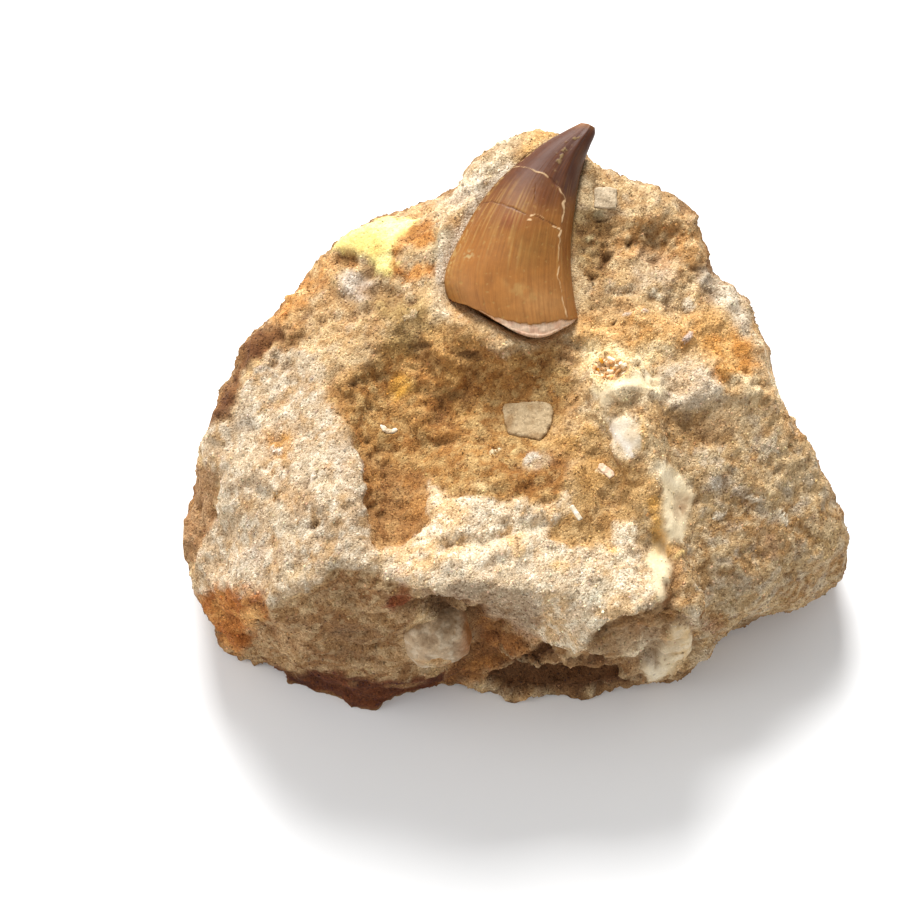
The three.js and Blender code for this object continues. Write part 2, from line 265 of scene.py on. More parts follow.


# The outline of each stain, patch of painted shade, ledge and break on the map sheet.
MAP = {
    "pale_slab": [
        (-38.0, -16.7), (-36.8, -12.9), (-35.5, -8.6), (-34.8, -4.8), (-35.5, -3.0), (-36.8, -0.8),
        (-36.7, 2.3), (-35.8, 3.9), (-32.9, 4.5), (-32.1, 7.6), (-31.2, 10.0), (-27.1, 14.7),
        (-23.6, 15.6), (-19.4, 14.1), (-18.9, 8.3), (-16.5, 4.7), (-15.5, 2.4), (-13.5, -1.5),
        (-13.0, -5.8), (-13.3, -8.5), (-12.1, -14.1), (-10.9, -16.1), (-11.8, -17.6), (-17.4, -18.2),
        (-22.7, -21.5), (-27.3, -23.5), (-31.1, -23.0), (-34.1, -21.5), (-38.0, -22.1)],
    "pale_shelf": [
        (-3.0, -5.5), (-1.7, -6.7), (2.4, -7.4), (4.5, -7.9), (7.7, -7.9), (9.8, -7.7), (12.4, -8.5),
        (13.9, -7.9), (17.4, -6.7), (17.7, -8.2), (16.7, -9.4), (15.2, -10.6), (14.8, -13.0),
        (17.4, -14.8), (23.0, -15.3), (24.2, -13.6), (25.5, -11.5), (28.2, -10.6), (28.9, -14.4),
        (30.2, -20.5), (31.1, -23.2), (28.2, -25.2), (24.4, -26.1), (21.8, -28.2), (20.8, -30.3),
        (16.7, -29.7), (12.7, -28.9), (11.5, -25.8), (12.4, -22.7), (10.0, -20.8), (6.1, -20.3),
        (3.5, -20.2), (0.9, -20.6), (-3.0, -21.2), (-5.6, -20.9), (-9.5, -19.2), (-11.8, -17.6),
        (-12.9, -16.7), (-10.6, -15.6), (-6.7, -15.3), (-4.8, -13.2), (-2.9, -11.5), (-2.7, -7.9)],
    "trough": [
        (-13.3, -8.5), (-13.0, -5.8), (-13.5, -1.5), (-11.2, -0.8), (-6.8, -2.3), (-3.0, -5.5),
        (-2.7, -7.9), (-2.9, -11.5), (-4.8, -13.2), (-6.7, -15.3), (-10.6, -15.6), (-12.1, -14.1)],
    "brown_bowl": [
        (-18.5, 8.3), (-16.5, 4.7), (-15.5, 2.4), (-13.5, -1.5), (-11.2, -3.0), (-6.8, -4.5),
        (-3.0, -5.5), (2.4, -7.4), (7.7, -7.9), (12.4, -8.5), (16.7, -7.1), (18.9, -4.2), (17.4, 0.0),
        (14.4, 1.8), (16.7, 5.3), (18.9, 8.3), (18.2, 12.9), (13.6, 15.2), (9.1, 15.5), (3.0, 17.3),
        (-1.5, 18.9), (-6.1, 18.2), (-9.8, 15.9), (-12.9, 12.9), (-16.7, 10.9)],
    "dark_bowl": [
        (-6.8, 18.2), (-3.0, 18.6), (0.8, 17.7), (4.5, 15.9), (9.1, 14.8), (10.6, 11.8), (7.6, 9.8),
        (3.0, 7.6), (0.8, 4.5), (-3.0, 3.8), (-5.3, 6.8), (-4.8, 10.6), (-7.6, 13.3), (-10.6, 15.2)],
    "ochre_side": [
        (14.4, 1.8), (16.7, 3.0), (21.2, 3.8), (23.8, 1.5), (24.7, -0.9), (28.8, -3.0), (31.1, -5.3),
        (31.4, -8.8), (28.2, -10.6), (25.5, -11.5), (24.2, -13.6), (23.0, -15.3), (17.4, -15.0),
        (14.8, -13.0), (15.2, -10.6), (17.6, -8.2), (18.9, -4.2), (17.4, 0.0)],
    "front_shade": [
        (-4.5, -21.2), (0.5, -20.3), (5.0, -20.0), (8.5, -20.3), (11.5, -21.4), (13.0, -22.4),
        (14.4, -24.5), (12.1, -27.0), (12.7, -28.9), (8.3, -26.5), (3.9, -23.6), (0.9, -22.1),
        (-3.0, -22.4)],
    "rusty_under": [
        (0.9, -22.1), (3.9, -23.6), (8.3, -26.5), (12.7, -28.9), (11.2, -31.1), (7.6, -33.0),
        (4.5, -34.8), (0.8, -36.4), (-3.0, -37.9), (-1.5, -33.3), (3.0, -31.1), (4.2, -27.3),
        (3.0, -23.6)],
    # Painted shade: the recess under the front lip is coloured darker than its own brown.
    "shaded_recess": [
        (14.2, -29.7), (11.2, -31.1), (7.6, -33.0), (5.3, -34.8), (7.6, -36.7), (16.7, -37.0),
        (27.3, -36.4), (30.3, -35.8), (25.6, -34.4), (22.6, -32.1), (21.4, -32.9), (16.5, -32.0)],
    "wedge": [
        (20.8, -30.3), (21.8, -28.2), (24.4, -26.1), (28.2, -25.2), (31.1, -23.2), (33.0, -22.0),
        (37.9, -28.8), (37.1, -31.1), (34.8, -32.0), (33.2, -33.9), (31.1, -36.4), (25.6, -34.4),
        (22.6, -32.4), (21.4, -33.2), (16.5, -32.3), (14.2, -29.8)],
    "wedge_white": [
        (31.1, -36.4), (33.2, -33.9), (34.8, -32.0), (37.1, -30.3), (36.4, -27.6), (34.2, -27.0),
        (32.4, -29.5), (31.8, -32.6), (29.5, -33.6)],
    "right_slope": [
        (32.6, 6.8), (37.9, 7.6), (43.2, 8.3), (47.0, 4.5), (51.5, 1.5), (62.1, -3.0), (63.6, -16.7),
        (60.6, -22.7), (53.0, -30.3), (37.9, -34.8), (37.1, -31.1), (37.9, -28.8), (34.8, -22.7),
        (33.6, -19.7), (36.4, -14.4), (37.9, -7.6), (36.4, -3.8), (33.6, -0.8), (31.8, 3.0)],
    "calcite_column": [
        (32.0, -2.4), (33.5, -3.3), (35.5, -4.2), (36.7, -6.8), (36.4, -10.6), (34.7, -13.6),
        (33.3, -14.8), (33.6, -18.9), (33.0, -22.0), (31.1, -23.2), (30.2, -20.5), (29.7, -16.7),
        (31.8, -12.9), (32.3, -8.8), (31.8, -4.5)],
    "calcite_lens": [
        (24.1, 5.0), (26.5, 5.3), (27.9, 3.0), (28.8, 0.8), (27.1, -1.1), (24.7, 2.0)],
    "calcite_cap": [
        (26.8, 10.9), (30.8, 11.7), (31.5, 10.2), (29.2, 8.6), (24.4, 8.2), (23.5, 6.1), (22.7, 7.9),
        (21.5, 9.7), (24.2, 9.7)],
    "grey_lump": [
        (32.1, 12.4), (36.4, 13.6), (39.7, 11.8), (41.2, 9.1), (39.7, 7.3), (36.1, 6.1), (32.6, 6.8),
        (30.3, 8.8)],
    "shade_under_lump": [
        (31.1, 6.1), (33.6, 6.4), (36.4, 5.8), (40.9, 6.8), (43.2, 5.3), (42.4, 1.5), (37.9, 0.3),
        (33.3, 1.5), (31.1, 3.0)],
    "orange_side": [
        (38.8, 17.0), (42.4, 17.9), (45.2, 17.3), (46.4, 15.2), (46.7, 11.8), (43.6, 11.2),
        (41.2, 10.0), (39.1, 10.9), (40.9, 13.3), (38.8, 14.8)],
    "ochre_band": [
        (18.3, 18.2), (21.2, 20.0), (28.8, 20.9), (33.6, 20.0), (37.9, 21.2), (43.2, 20.0),
        (44.2, 17.3), (37.9, 14.8), (33.6, 14.8), (28.8, 15.2), (22.7, 16.1), (18.9, 16.7)],
    "cream_band": [
        (18.9, 16.7), (22.7, 16.1), (28.8, 15.2), (33.6, 14.8), (31.8, 13.3), (28.8, 12.4),
        (27.6, 10.6), (24.5, 9.4), (21.5, 10.3), (20.9, 12.7), (18.9, 14.2)],
    "brown_crumb": [
        (25.2, 34.5), (28.8, 34.8), (34.8, 35.6), (37.9, 32.6), (38.8, 28.5), (36.4, 26.4),
        (33.0, 26.4), (29.5, 28.5), (26.5, 28.5), (24.2, 30.3)],
    "dark_pitted": [
        (18.8, 36.1), (21.2, 36.7), (23.6, 35.8), (24.8, 34.1), (24.5, 28.5), (22.7, 26.4),
        (20.6, 25.8), (18.8, 28.8), (18.5, 32.6)],
    "grey_rim": [
        (37.9, 27.3), (39.7, 27.6), (43.2, 24.2), (45.5, 19.7), (45.8, 17.0), (43.6, 17.9),
        (41.2, 21.2), (38.8, 23.5)],
    "rim_right": [
        (44.7, 17.0), (47.0, 11.8), (49.4, 7.9), (53.0, 4.5), (56.4, 0.0), (58.8, -5.5), (59.8, -4.2),
        (57.6, 1.5), (53.0, 7.6), (48.5, 13.6), (45.8, 18.9)],
    "yellow_crust": [
        (-18.2, 30.2), (-16.7, 32.4), (-15.2, 34.5), (-13.0, 35.8), (-9.8, 35.8), (-7.3, 34.8),
        (-4.8, 34.5), (-4.5, 31.8), (-5.9, 31.5), (-7.7, 31.2), (-9.1, 29.7), (-7.3, 28.5),
        (-10.3, 26.5), (-11.5, 27.6), (-12.0, 29.2), (-14.1, 30.3), (-16.4, 30.2)],
    "imprint": [
        (-17.4, 30.0), (-15.9, 30.3), (-14.1, 30.2), (-13.6, 28.5), (-14.4, 27.3), (-16.4, 27.9),
        (-17.6, 28.8)],
    "left_rim": [
        (-28.5, 19.4), (-25.8, 23.3), (-22.7, 26.7), (-20.0, 28.8), (-18.2, 29.4), (-17.3, 27.6),
        (-18.8, 25.2), (-21.5, 22.7), (-23.3, 20.0), (-26.4, 18.5)],
    # Painted shadow: the steep left flank is coloured darker than its own brown.
    "shadowed_flank": [
        (-38.5, 2.7), (-37.1, 6.8), (-34.1, 13.6), (-30.3, 18.2), (-25.5, 19.4), (-25.2, 17.3),
        (-28.5, 14.5), (-31.2, 11.8), (-32.4, 8.3), (-33.0, 4.8), (-35.8, 3.9)],
    "olive_streak": [
        (-11.8, 24.2), (-8.3, 23.9), (-4.5, 22.7), (-3.0, 20.0), (-4.5, 15.9), (-7.6, 14.8),
        (-9.8, 16.7), (-7.9, 18.8), (-11.2, 21.2)],
    "dark_by_crown": [
        (-2.7, 32.3), (-0.3, 33.0), (1.2, 31.8), (0.3, 29.4), (-1.5, 28.5), (-2.7, 30.3)],
    "white_bank": [
        (0.3, 31.8), (-0.8, 28.5), (-1.2, 25.0), (-0.6, 21.2), (-2.1, 20.0), (-3.3, 22.7),
        (-2.7, 26.5), (-2.1, 29.1), (-0.6, 34.1), (3.0, 38.6), (7.6, 43.2), (12.1, 47.0), (10.6, 48.2),
        (6.1, 45.5), (0.9, 40.2), (-1.5, 36.4), (-1.5, 33.6)],
    "rust_streaks": [
        (-5.2, 33.9), (-2.7, 34.2), (-2.7, 31.8), (-4.5, 30.6), (-7.0, 30.0), (-8.2, 28.5),
        (-6.1, 27.6), (-2.4, 28.5), (-2.1, 27.0), (-6.1, 26.1), (-8.8, 27.6), (-8.2, 30.3),
        (-6.4, 31.5)],
    "upper_grey": [
        (-17.0, 25.8), (-14.2, 26.7), (-11.8, 25.2), (-13.6, 23.0), (-16.4, 23.3)],
    "side_lobe": [
        (-40.0, -16.7), (-40.0, -7.6), (-37.9, -1.8), (-35.5, -3.0), (-34.8, -4.8), (-35.5, -8.6),
        (-36.8, -12.9), (-38.0, -16.7)],
    "rust_corner": [
        (-38.5, -23.9), (-37.1, -21.5), (-33.3, -20.6), (-28.5, -21.8), (-28.5, -24.5), (-30.6, -27.9),
        (-32.1, -31.1), (-34.8, -28.8), (-37.3, -27.0)],
    "front_brown": [
        (-28.5, -24.5), (-22.7, -22.1), (-17.3, -18.8), (-13.6, -18.2), (-9.5, -19.7), (-4.5, -21.5),
        (-4.5, -23.6), (-7.6, -28.8), (-4.5, -33.3), (-1.5, -36.4), (-7.6, -40.9), (-22.7, -39.7),
        (-32.1, -31.1), (-30.6, -27.9)],
    "niche_shade": [
        (-7.9, -23.6), (-4.5, -22.4), (0.8, -22.4), (4.2, -24.5), (4.5, -28.8), (3.0, -31.8),
        (4.2, -28.8), (3.0, -25.8), (0.0, -23.6), (-4.5, -23.6), (-7.0, -25.2)],
    # Painted shade: the foot is coloured darker than its own mauve-brown.
    "shaded_foot": [
        (-28.5, -31.8), (-22.7, -33.0), (-15.2, -34.2), (-7.6, -34.8), (-1.5, -33.6), (-1.5, -40.9),
        (-22.7, -40.9)],
}

block = stone_piece("sandstone_block", {"matrix": 0.0} | SET_IN, GRAIN_VOXEL, 8)
spots, ways = points_of(block.data)

# The stone closes up against each piece set in it: its skin dips under the piece's own.
near_pieces = np.full(len(spots), 9.0)
for node, growth in SET_IN.items():
    tree = BVHTree.FromBMesh(welded(node))
    for i in near(spots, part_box(node)):
        gap, outwards, way = off_skin(tree, place(*spots[i]))
        if outwards < 0 and gap < HALF_THICK[node]:
            gap = -gap
        near_pieces[i] = min(near_pieces[i], gap)
        if gap < growth + 0.4 and node in ("tooth", "nodule"):
            share = float(smooth(np.array(growth + 0.4 - gap), 0, 0.5))
            spots[i] -= np.array(way) * (growth + 0.7) * share
open_stone = smooth(near_pieces, 0.6, 3.0)

# The stone stands back from the crown's sides, so that it shows to its widest line, and is banked
# up against its broken base. The crown's outline is given across it and along its rise.
CROWN_BASE = np.array([-1.0, 47.1, 36.6])
CROWN_RISE = math.radians(20)
OUTER_EDGE = [
    (-9.7, 2.2), (-10.5, 5.0), (-10.0, 8.0), (-8.5, 11.3), (-6.7, 14.8), (-4.6, 18.1),
    (-2.1, 21.1), (1.1, 23.9), (4.4, 26.5), (7.6, 28.4), (10.2, 29.7)]
INNER_EDGE = [
    (9.7, -0.3), (9.1, 2.8), (8.7, 6.5), (8.6, 10.3), (8.9, 14.3), (9.4, 18.0),
    (10.0, 21.3), (10.8, 24.1), (11.6, 26.2), (12.3, 27.9), (12.3, 29.0)]
BASE_EDGE = [(8.7, -1.2), (7.3, -2.4), (4.8, -3.6), (2.4, -3.8), (0.0, -3.0), (-2.4, -1.6),
             (-4.8, -0.1), (-7.3, 1.3), (-8.7, 1.9)]
BANK_HEIGHTS = [(-9.0, 0.5), (-7.3, 2.2), (-4.8, 4.2), (-2.4, 5.0), (0.0, 4.5), (2.5, 3.1), (6.0, 2.2),
                (9.0, 0.6)]
FLANK_FALL = 3.2
BELOW_WIDEST = 0.45
rise_way = np.array([0, math.cos(CROWN_RISE), math.sin(CROWN_RISE)])
out_way = np.array([0, -math.sin(CROWN_RISE), math.cos(CROWN_RISE)])
links = np.empty(2 * len(block.data.edges), int)
block.data.edges.foreach_get("vertices", links)
one, other = links[::2], links[1::2]
neighbours = np.bincount(links, minlength=len(spots))
for rounds in (12, 3):
    from_base = spots - CROWN_BASE
    crown_plan = np.stack([from_base[:, 0], from_base @ rise_way], 1)
    deep = depth_inside(crown_plan, OUTER_EDGE + INNER_EDGE[::-1] + BASE_EDGE)
    height = from_base @ out_way
    covered = 0.1 * np.clip(9.5 - 0.3 * crown_plan[:, 1], 0.5, None)
    base_line = np.interp(crown_plan[:, 0], *np.array(BASE_EDGE[::-1]).T)
    under_base = (smooth(base_line - crown_plan[:, 1], -1.2, 0.8)
                  * smooth(9.6 - np.abs(crown_plan[:, 0]), -1.0, 0.6))
    bank = np.interp(crown_plan[:, 0], *np.array(BANK_HEIGHTS).T) * under_base
    drop = np.clip(height - (covered + bank - FLANK_FALL * deep), 0, None)
    drop = drop * smooth(deep, -2.0, -0.9) * (height > -8)
    upward = smooth(ways @ out_way, 0.1, 0.5) * smooth(height, -7, -5) * smooth(-crown_plan[:, 1], -33, -30)
    lift = np.clip(covered - BELOW_WIDEST + bank - height, 0, 5.0)
    lift = lift * smooth(deep, -2.8 - 3.0 * under_base, -0.7) * upward
    spots += (lift - drop)[:, None] * out_way
    beside = 0.6 * (smooth(deep, -3.2, -1.8) * smooth(height, -9, -7))[:, None]
    for _ in range(rounds):
        around = [np.bincount(one, spots[other, k], len(spots))
                  + np.bincount(other, spots[one, k], len(spots)) for k in range(3)]
        spots += beside * (np.stack(around, 1) / neighbours[:, None] - spots)

# Laid ledges, broken edges, pits and crusts, where the map has them.
wandered = spots + drift(spots, 5, (1, 2, 3)) * 0.9
wandered += drift(spots, 1.6, (4, 5, 6)) * 0.45
sheet_spots = on_sheet(wandered)
seen = smooth(-ways @ SIGHT, 0.02, 0.25)
jagged = 0.8 * lumps(spots, 2.4, 7) + 0.5 * lumps(spots, 1.0, 8)
# How many millimetres each zone's edge fades over, where that isn't 1.
SOFT = {"dark_bowl": 5, "brown_bowl": 3, "trough": 2, "ochre_side": 3, "rusty_under": 3,
        "shaded_recess": 0.7, "wedge": 0.7, "wedge_white": 0.8,
        "right_slope": 2, "calcite_column": 1.2, "calcite_lens": 1.4, "calcite_cap": 2.2, "grey_lump": 2,
        "shade_under_lump": 3, "orange_side": 2.5, "ochre_band": 3, "cream_band": 2, "brown_crumb": 3,
        "grey_rim": 2.5, "rim_right": 2, "yellow_crust": 0.8, "imprint": 0.8, "left_rim": 2.5,
        "shadowed_flank": 1.5, "olive_streak": 4, "dark_by_crown": 2, "white_bank": 1.5,
        "rust_streaks": 1.2, "upper_grey": 2, "rust_corner": 2.5, "niche_shade": 2.5}
zone = {}
for name, outline in MAP.items():
    soft = SOFT.get(name, 1.0)
    deep = depth_inside(sheet_spots, outline) + jagged * min(1.0, 0.35 * soft + 0.1)
    zone[name] = smooth(deep, -soft / 2, soft / 2) * (seen if name != "shadowed_flank" else seen ** 2)
calcite = np.maximum.reduce([zone[n] for n in (
    "calcite_column", "calcite_lens", "calcite_cap", "wedge_white")])
front = smooth(-ways[:, 1], 0.4, 0.75) * smooth(-spots[:, 1], -16, -10)

raised = np.zeros(len(spots))
for rise, name in [  # how far each zone stands out or lies back
    (0.55, "pale_slab"), (0.75, "pale_shelf"), (0.45, "front_shade"), (-0.25, "trough"),
    (0.9, "grey_lump"), (-0.4, "shade_under_lump"), (0.4, "yellow_crust"), (-0.9, "imprint"),
    (-0.6, "dark_pitted"), (0.35, "calcite_column"), (0.15, "calcite_lens"), (0.3, "calcite_cap"),
    (0.9, "wedge_white"), (-0.9, "wedge"), (-1.7, "shaded_recess"), (-0.5, "dark_bowl"), (-0.4, "rusty_under"),
    (0.4, "rim_right"), (-0.5, "dark_by_crown"), (-0.4, "niche_shade"), (0.3, "ochre_band"),
]:
    raised += rise * zone[name]
PITS = [  # depth, place on the map, half its length and width, and its turn
    (1.9, (23.6, 29.1), (1.5, 1.2), 60), (1.0, (21.4, 26.5), (1.0, 0.7), 30),
    (1.2, (19.7, 32.7), (0.9, 1.3), 0), (1.1, (23.0, 35.0), (1.4, 0.6), 20),
    (0.9, (20.4, 29.8), (0.8, 0.8), 0), (0.9, (-21.3, -5.3), (1.7, 0.7), 50),
    (0.8, (-21.2, -11.3), (0.6, 1.0), -30), (1.2, (28.2, 13.5), (1.5, 0.7), 20),
    (0.7, (31.2, 14.8), (0.9, 0.5), 0), (0.9, (24.7, 19.1), (0.8, 0.5), 40),
    (0.7, (20.9, 20.8), (0.6, 0.4), 0), (0.6, (0.4, -10.7), (0.7, 0.4), 0),
    (0.7, (6.0, -15.0), (0.8, 0.5), 0), (0.9, (32.6, -20.5), (0.7, 1.3), 10),
    (0.8, (33.2, -24.5), (1.0, 1.0), 0), (0.8, (29.7, -24.0), (0.7, 0.9), 0),
    (1.0, (3.0, 14.2), (2.4, 1.0), -10), (0.8, (-4.5, 15.6), (1.8, 0.8), 0),
    (0.9, (31.0, 28.5), (1.6, 1.0), -20), (0.9, (27.0, 31.0), (1.4, 0.9), 0),
    (0.8, (37.0, 27.5), (1.6, 0.9), 0), (0.8, (-26.0, 1.6), (1.3, 0.8), 0),
    (0.9, (-14.5, 10.0), (1.6, 0.8), 20), (0.8, (-6.0, 22.6), (1.6, 0.7), 20)]
pitted = np.zeros(len(spots))
for depth, at, radii, turn in PITS:
    mask = blob(sheet_spots, at, radii, turn, 0.9) * seen
    raised -= 0.9 * depth * mask
    pitted = np.maximum(pitted, mask * min(1.0, depth))
for rise, line, width in [  # furrows and ridges: how high each stands, its line and its width
        (-0.9, [(-1.5, -14.4), (6.5, -14.0), (10.5, -11.8), (14.5, -10.3)], 1.3),
        (0.6, [(-1.0, -16.6), (7.5, -16.0), (13.0, -13.6), (17.0, -14.0)], 1.8),
        (-1.1, [(31.6, -13.5), (33.6, -17.5), (34.4, -22.0), (32.5, -25.5)], 1.8),
        (0.5, [(28.4, -14.0), (30.0, -19.0), (31.0, -23.0)], 1.0)]:
    raised += rise * along_line(sheet_spots, line, width) * seen
POCKET = np.array([24.2, 12.2])
POCKET_REACH = (2.8, 1.9)
POCKET_TURN = -5
crystal_pocket = blob(sheet_spots, POCKET, POCKET_REACH, POCKET_TURN, 0.35) * seen
pocket_rim = (blob(sheet_spots, POCKET, (3.6, 2.7), POCKET_TURN, 0.3)
              - blob(sheet_spots, POCKET, POCKET_REACH, POCKET_TURN, 0.3))
niche_top = blob(sheet_spots, (-0.6, -23.6), (6.6, 2.0), 0, 0.6) * seen
raised += 0.6 * np.clip(pocket_rim, 0, 1) * seen - 1.4 * crystal_pocket - 2.6 * niche_top
raised += 1.1 * blob(sheet_spots, (26.6, 8.2), (3.4, 1.8), -8, 0.9) * seen
FLECKS = [  # place on the map, half its length and width, turn and colour of small bits that stand proud
    ((35.4, 17.2), (0.75, 0.6), 20, (206, 188, 178)), ((6.7, 0.1), (1.5, 0.28), 50, (236, 222, 186)),
    ((9.4, -0.1), (1.3, 0.22), 25, (214, 186, 130)), ((29.0, 20.4), (0.7, 0.5), 0, (214, 196, 176)),
    ((-26.6, 0.2), (0.7, 0.35), 30, (222, 206, 186)), ((-20.4, -4.2), (0.9, 0.35), 60, (226, 210, 190)),
    ((26.9, 20.6), (0.6, 0.45), 0, (206, 190, 174)), ((-22.0, 24.2), (0.9, 0.7), 20, (226, 196, 142)),
    ((12.3, -1.0), (1.2, 0.8), 10, (198, 186, 168)), ((22.4, -3.4), (0.5, 0.4), 0, (222, 196, 160)),
    ((-32.0, -8.0), (0.9, 0.5), 30, (214, 200, 178)), ((-5.8, 20.2), (1.3, 0.5), 40, (216, 190, 150)),
    ((31.5, 24.0), (1.0, 0.6), -30, (222, 206, 176)), ((36.0, 22.0), (1.2, 0.7), -40, (214, 200, 176)),
    ((21.0, 31.8), (0.8, 0.6), 20, (196, 176, 130)), ((41.0, -10.0), (1.0, 0.5), 10, (226, 212, 188)),
    ((46.0, -7.0), (1.4, 0.5), -20, (222, 206, 180)), ((50.5, -10.5), (1.5, 0.6), -60, (226, 212, 186)),
    ((35.0, -16.0), (0.8, 0.6), 0, (206, 176, 116)), ((42.0, -24.0), (1.0, 0.5), 0, (210, 190, 156))]
fleck_masks = [smooth(blob(sheet_spots, at, (1.6 * a, 1.6 * b), turn, 1.0), 0.3, 0.5) * seen
               for at, (a, b), turn, _ in FLECKS]
raised += 0.4 * np.max(fleck_masks, axis=0)

# Broken sandstone's own relief: lumps, bowls and crumb, calmer where the skin is a crust or a slab.
steep = smooth(1 - np.abs(ways[:, 2]), 0.35, 0.75)
calm = (0.45 * zone["rim_right"] + 0.45 * steep * smooth(spots[:, 0], 26, 34)
        + 0.22 * zone["pale_slab"] + 0.35 * zone["pale_shelf"] + 0.75 * zone["yellow_crust"]
        + 0.7 * calcite + 0.5 * zone["front_shade"] + 0.3 * zone["front_brown"])
broken = np.clip(1 - calm + 0.5 * zone["dark_pitted"] + 0.25 * zone["brown_crumb"]
                 - 0.3 * zone["right_slope"] - 0.15 * zone["orange_side"], 0.2, 1.6)
beds = spots * (0.16, 1.0, 1.0)
uneven = 0.7 + 0.6 * smooth(lumps(spots, 7, 17), -0.3, 0.4)
stirred = spots + 2.2 * drift(spots, 4.5, (18, 19, 20))
raised += open_stone * broken * uneven * (
    0.6 * lumps(spots, 9, 11) + 1.3 * (scallops(stirred, 6.5, 12) - 0.25)
    - 0.9 * np.abs(lumps(stirred, 4.2, 13)) + 0.30 * (scallops(spots, 2.6, 22) - 0.25)
    - 0.45 * np.abs(lumps(spots, 1.9, 14)) + 0.34 * lumps(spots, 1.05, 15))
raised += (open_stone * (1 - calm) * 0.30 * np.abs(lumps(spots, 1.4, 16))
           + 0.25 * open_stone * broken)
hidden = steep * (1 - seen)
layers = spots * (0.22, 0.22, 1.0)
raised += open_stone * hidden * (0.9 * lumps(layers, 3.6, 33) + 0.5 * np.abs(lumps(layers, 1.6, 34)))
raised += open_stone * front * (0.6 * lumps(beds, 1.7, 31) + 0.32 * lumps(beds, 0.9, 32))
raised *= 0.2 + 0.8 * open_stone
hollowness = raised - np.clip(raised, -0.2, None)
spots += ways * raised[:, None]
matrix_low, matrix_high = in_block(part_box("matrix"))
spots = np.clip(spots, matrix_low, matrix_high)

# Each small fragment stands a little proud: the stone meets its side below its upper skin.
# The number is how far below that skin, in millimetres, the stone meets it.
STANDS_PROUD = {"bone_chip": 0.55, "white_spine": 0.3, "bone_splinter": 0.35, "shell_fragment": 0.3,
                "grey_clast": 0.6}
for node, bite in STANDS_PROUD.items():
    solid = welded(node)
    tree = BVHTree.FromBMesh(solid)
    upper = np.array([np.array(v.co) / MM - np.array(ORIGIN) for v in solid.verts if v.normal.z > 0.5])
    upper_plane = np.linalg.lstsq(np.c_[upper[:, :2], np.ones(len(upper))], upper[:, 2], rcond=None)[0]
    for i in near(spots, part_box(node)):
        skin = upper_plane @ (spots[i, 0], spots[i, 1], 1)
        level = place(spots[i, 0], spots[i, 1], skin - HALF_THICK[node])
        gap, outwards, _ = off_skin(tree, level)
        spots[i, 2] = min(spots[i, 2], skin - bite + (gap if outwards > 0 else 0))
put_points(block.data, spots)


# The colour of each spot: its stain, as the water left it, with painted shade laid over it in the recess,
# on the foot and the left flank, above the nodule, in pits and hollows and on the undersides. Colours are
# as the eye names them, 0 to 255.
def shade(red, green, blue):
    """That screen colour as the plain light values that a material takes."""
    screen = np.array([red, green, blue]) / 255
    return np.where(screen <= 0.04045, screen / 12.92, ((screen + 0.055) / 1.055) ** 2.4)


def tint(stain_and_shading, mask, colour):
    """Turns the painted colours towards that colour, by the mask's share at each vertex."""
    stain_and_shading += mask[:, None] * (shade(*colour) - stain_and_shading)


def mottle(stain_and_shading, mask, tones, patches):
    """Tints the zone with its first tone, then with patches of its other tones."""
    tint(stain_and_shading, mask, tones[0])
    for tone, patch in zip(tones[1:], patches):
        tint(stain_and_shading, 0.62 * mask * patch, tone)


stain_and_shading = np.tile(shade(196, 160, 112), (len(spots), 1))
patches = [smooth(lumps(spots, size, k) + 0.35 * lumps(spots, 0.8, k + 5), -0.02, 0.4)
           for k, size in ((41, 3.6), (42, 2.2), (43, 5.0), (44, 1.4))]
unseen = smooth(hidden, 0.1, 0.6)
wide = smooth(lumps(spots * (0.6, 0.6, 1.4), 13, 46), -0.25, 0.35)
for mask, tones in [  # all over, then on the sides that face away, then in wide patches of those
        (np.full(len(spots), 0.9),
         ((200, 168, 122), (176, 130, 80), (186, 168, 140), (222, 198, 156), (150, 110, 66))),
        (0.9 * unseen,
         ((164, 130, 90), (128, 92, 54), (150, 134, 110), (184, 156, 116), (112, 80, 48))),
        (0.75 * unseen * wide, ((140, 98, 54), (108, 68, 34), (166, 122, 72), (124, 82, 44)))]:
    mottle(stain_and_shading, mask, tones, patches)
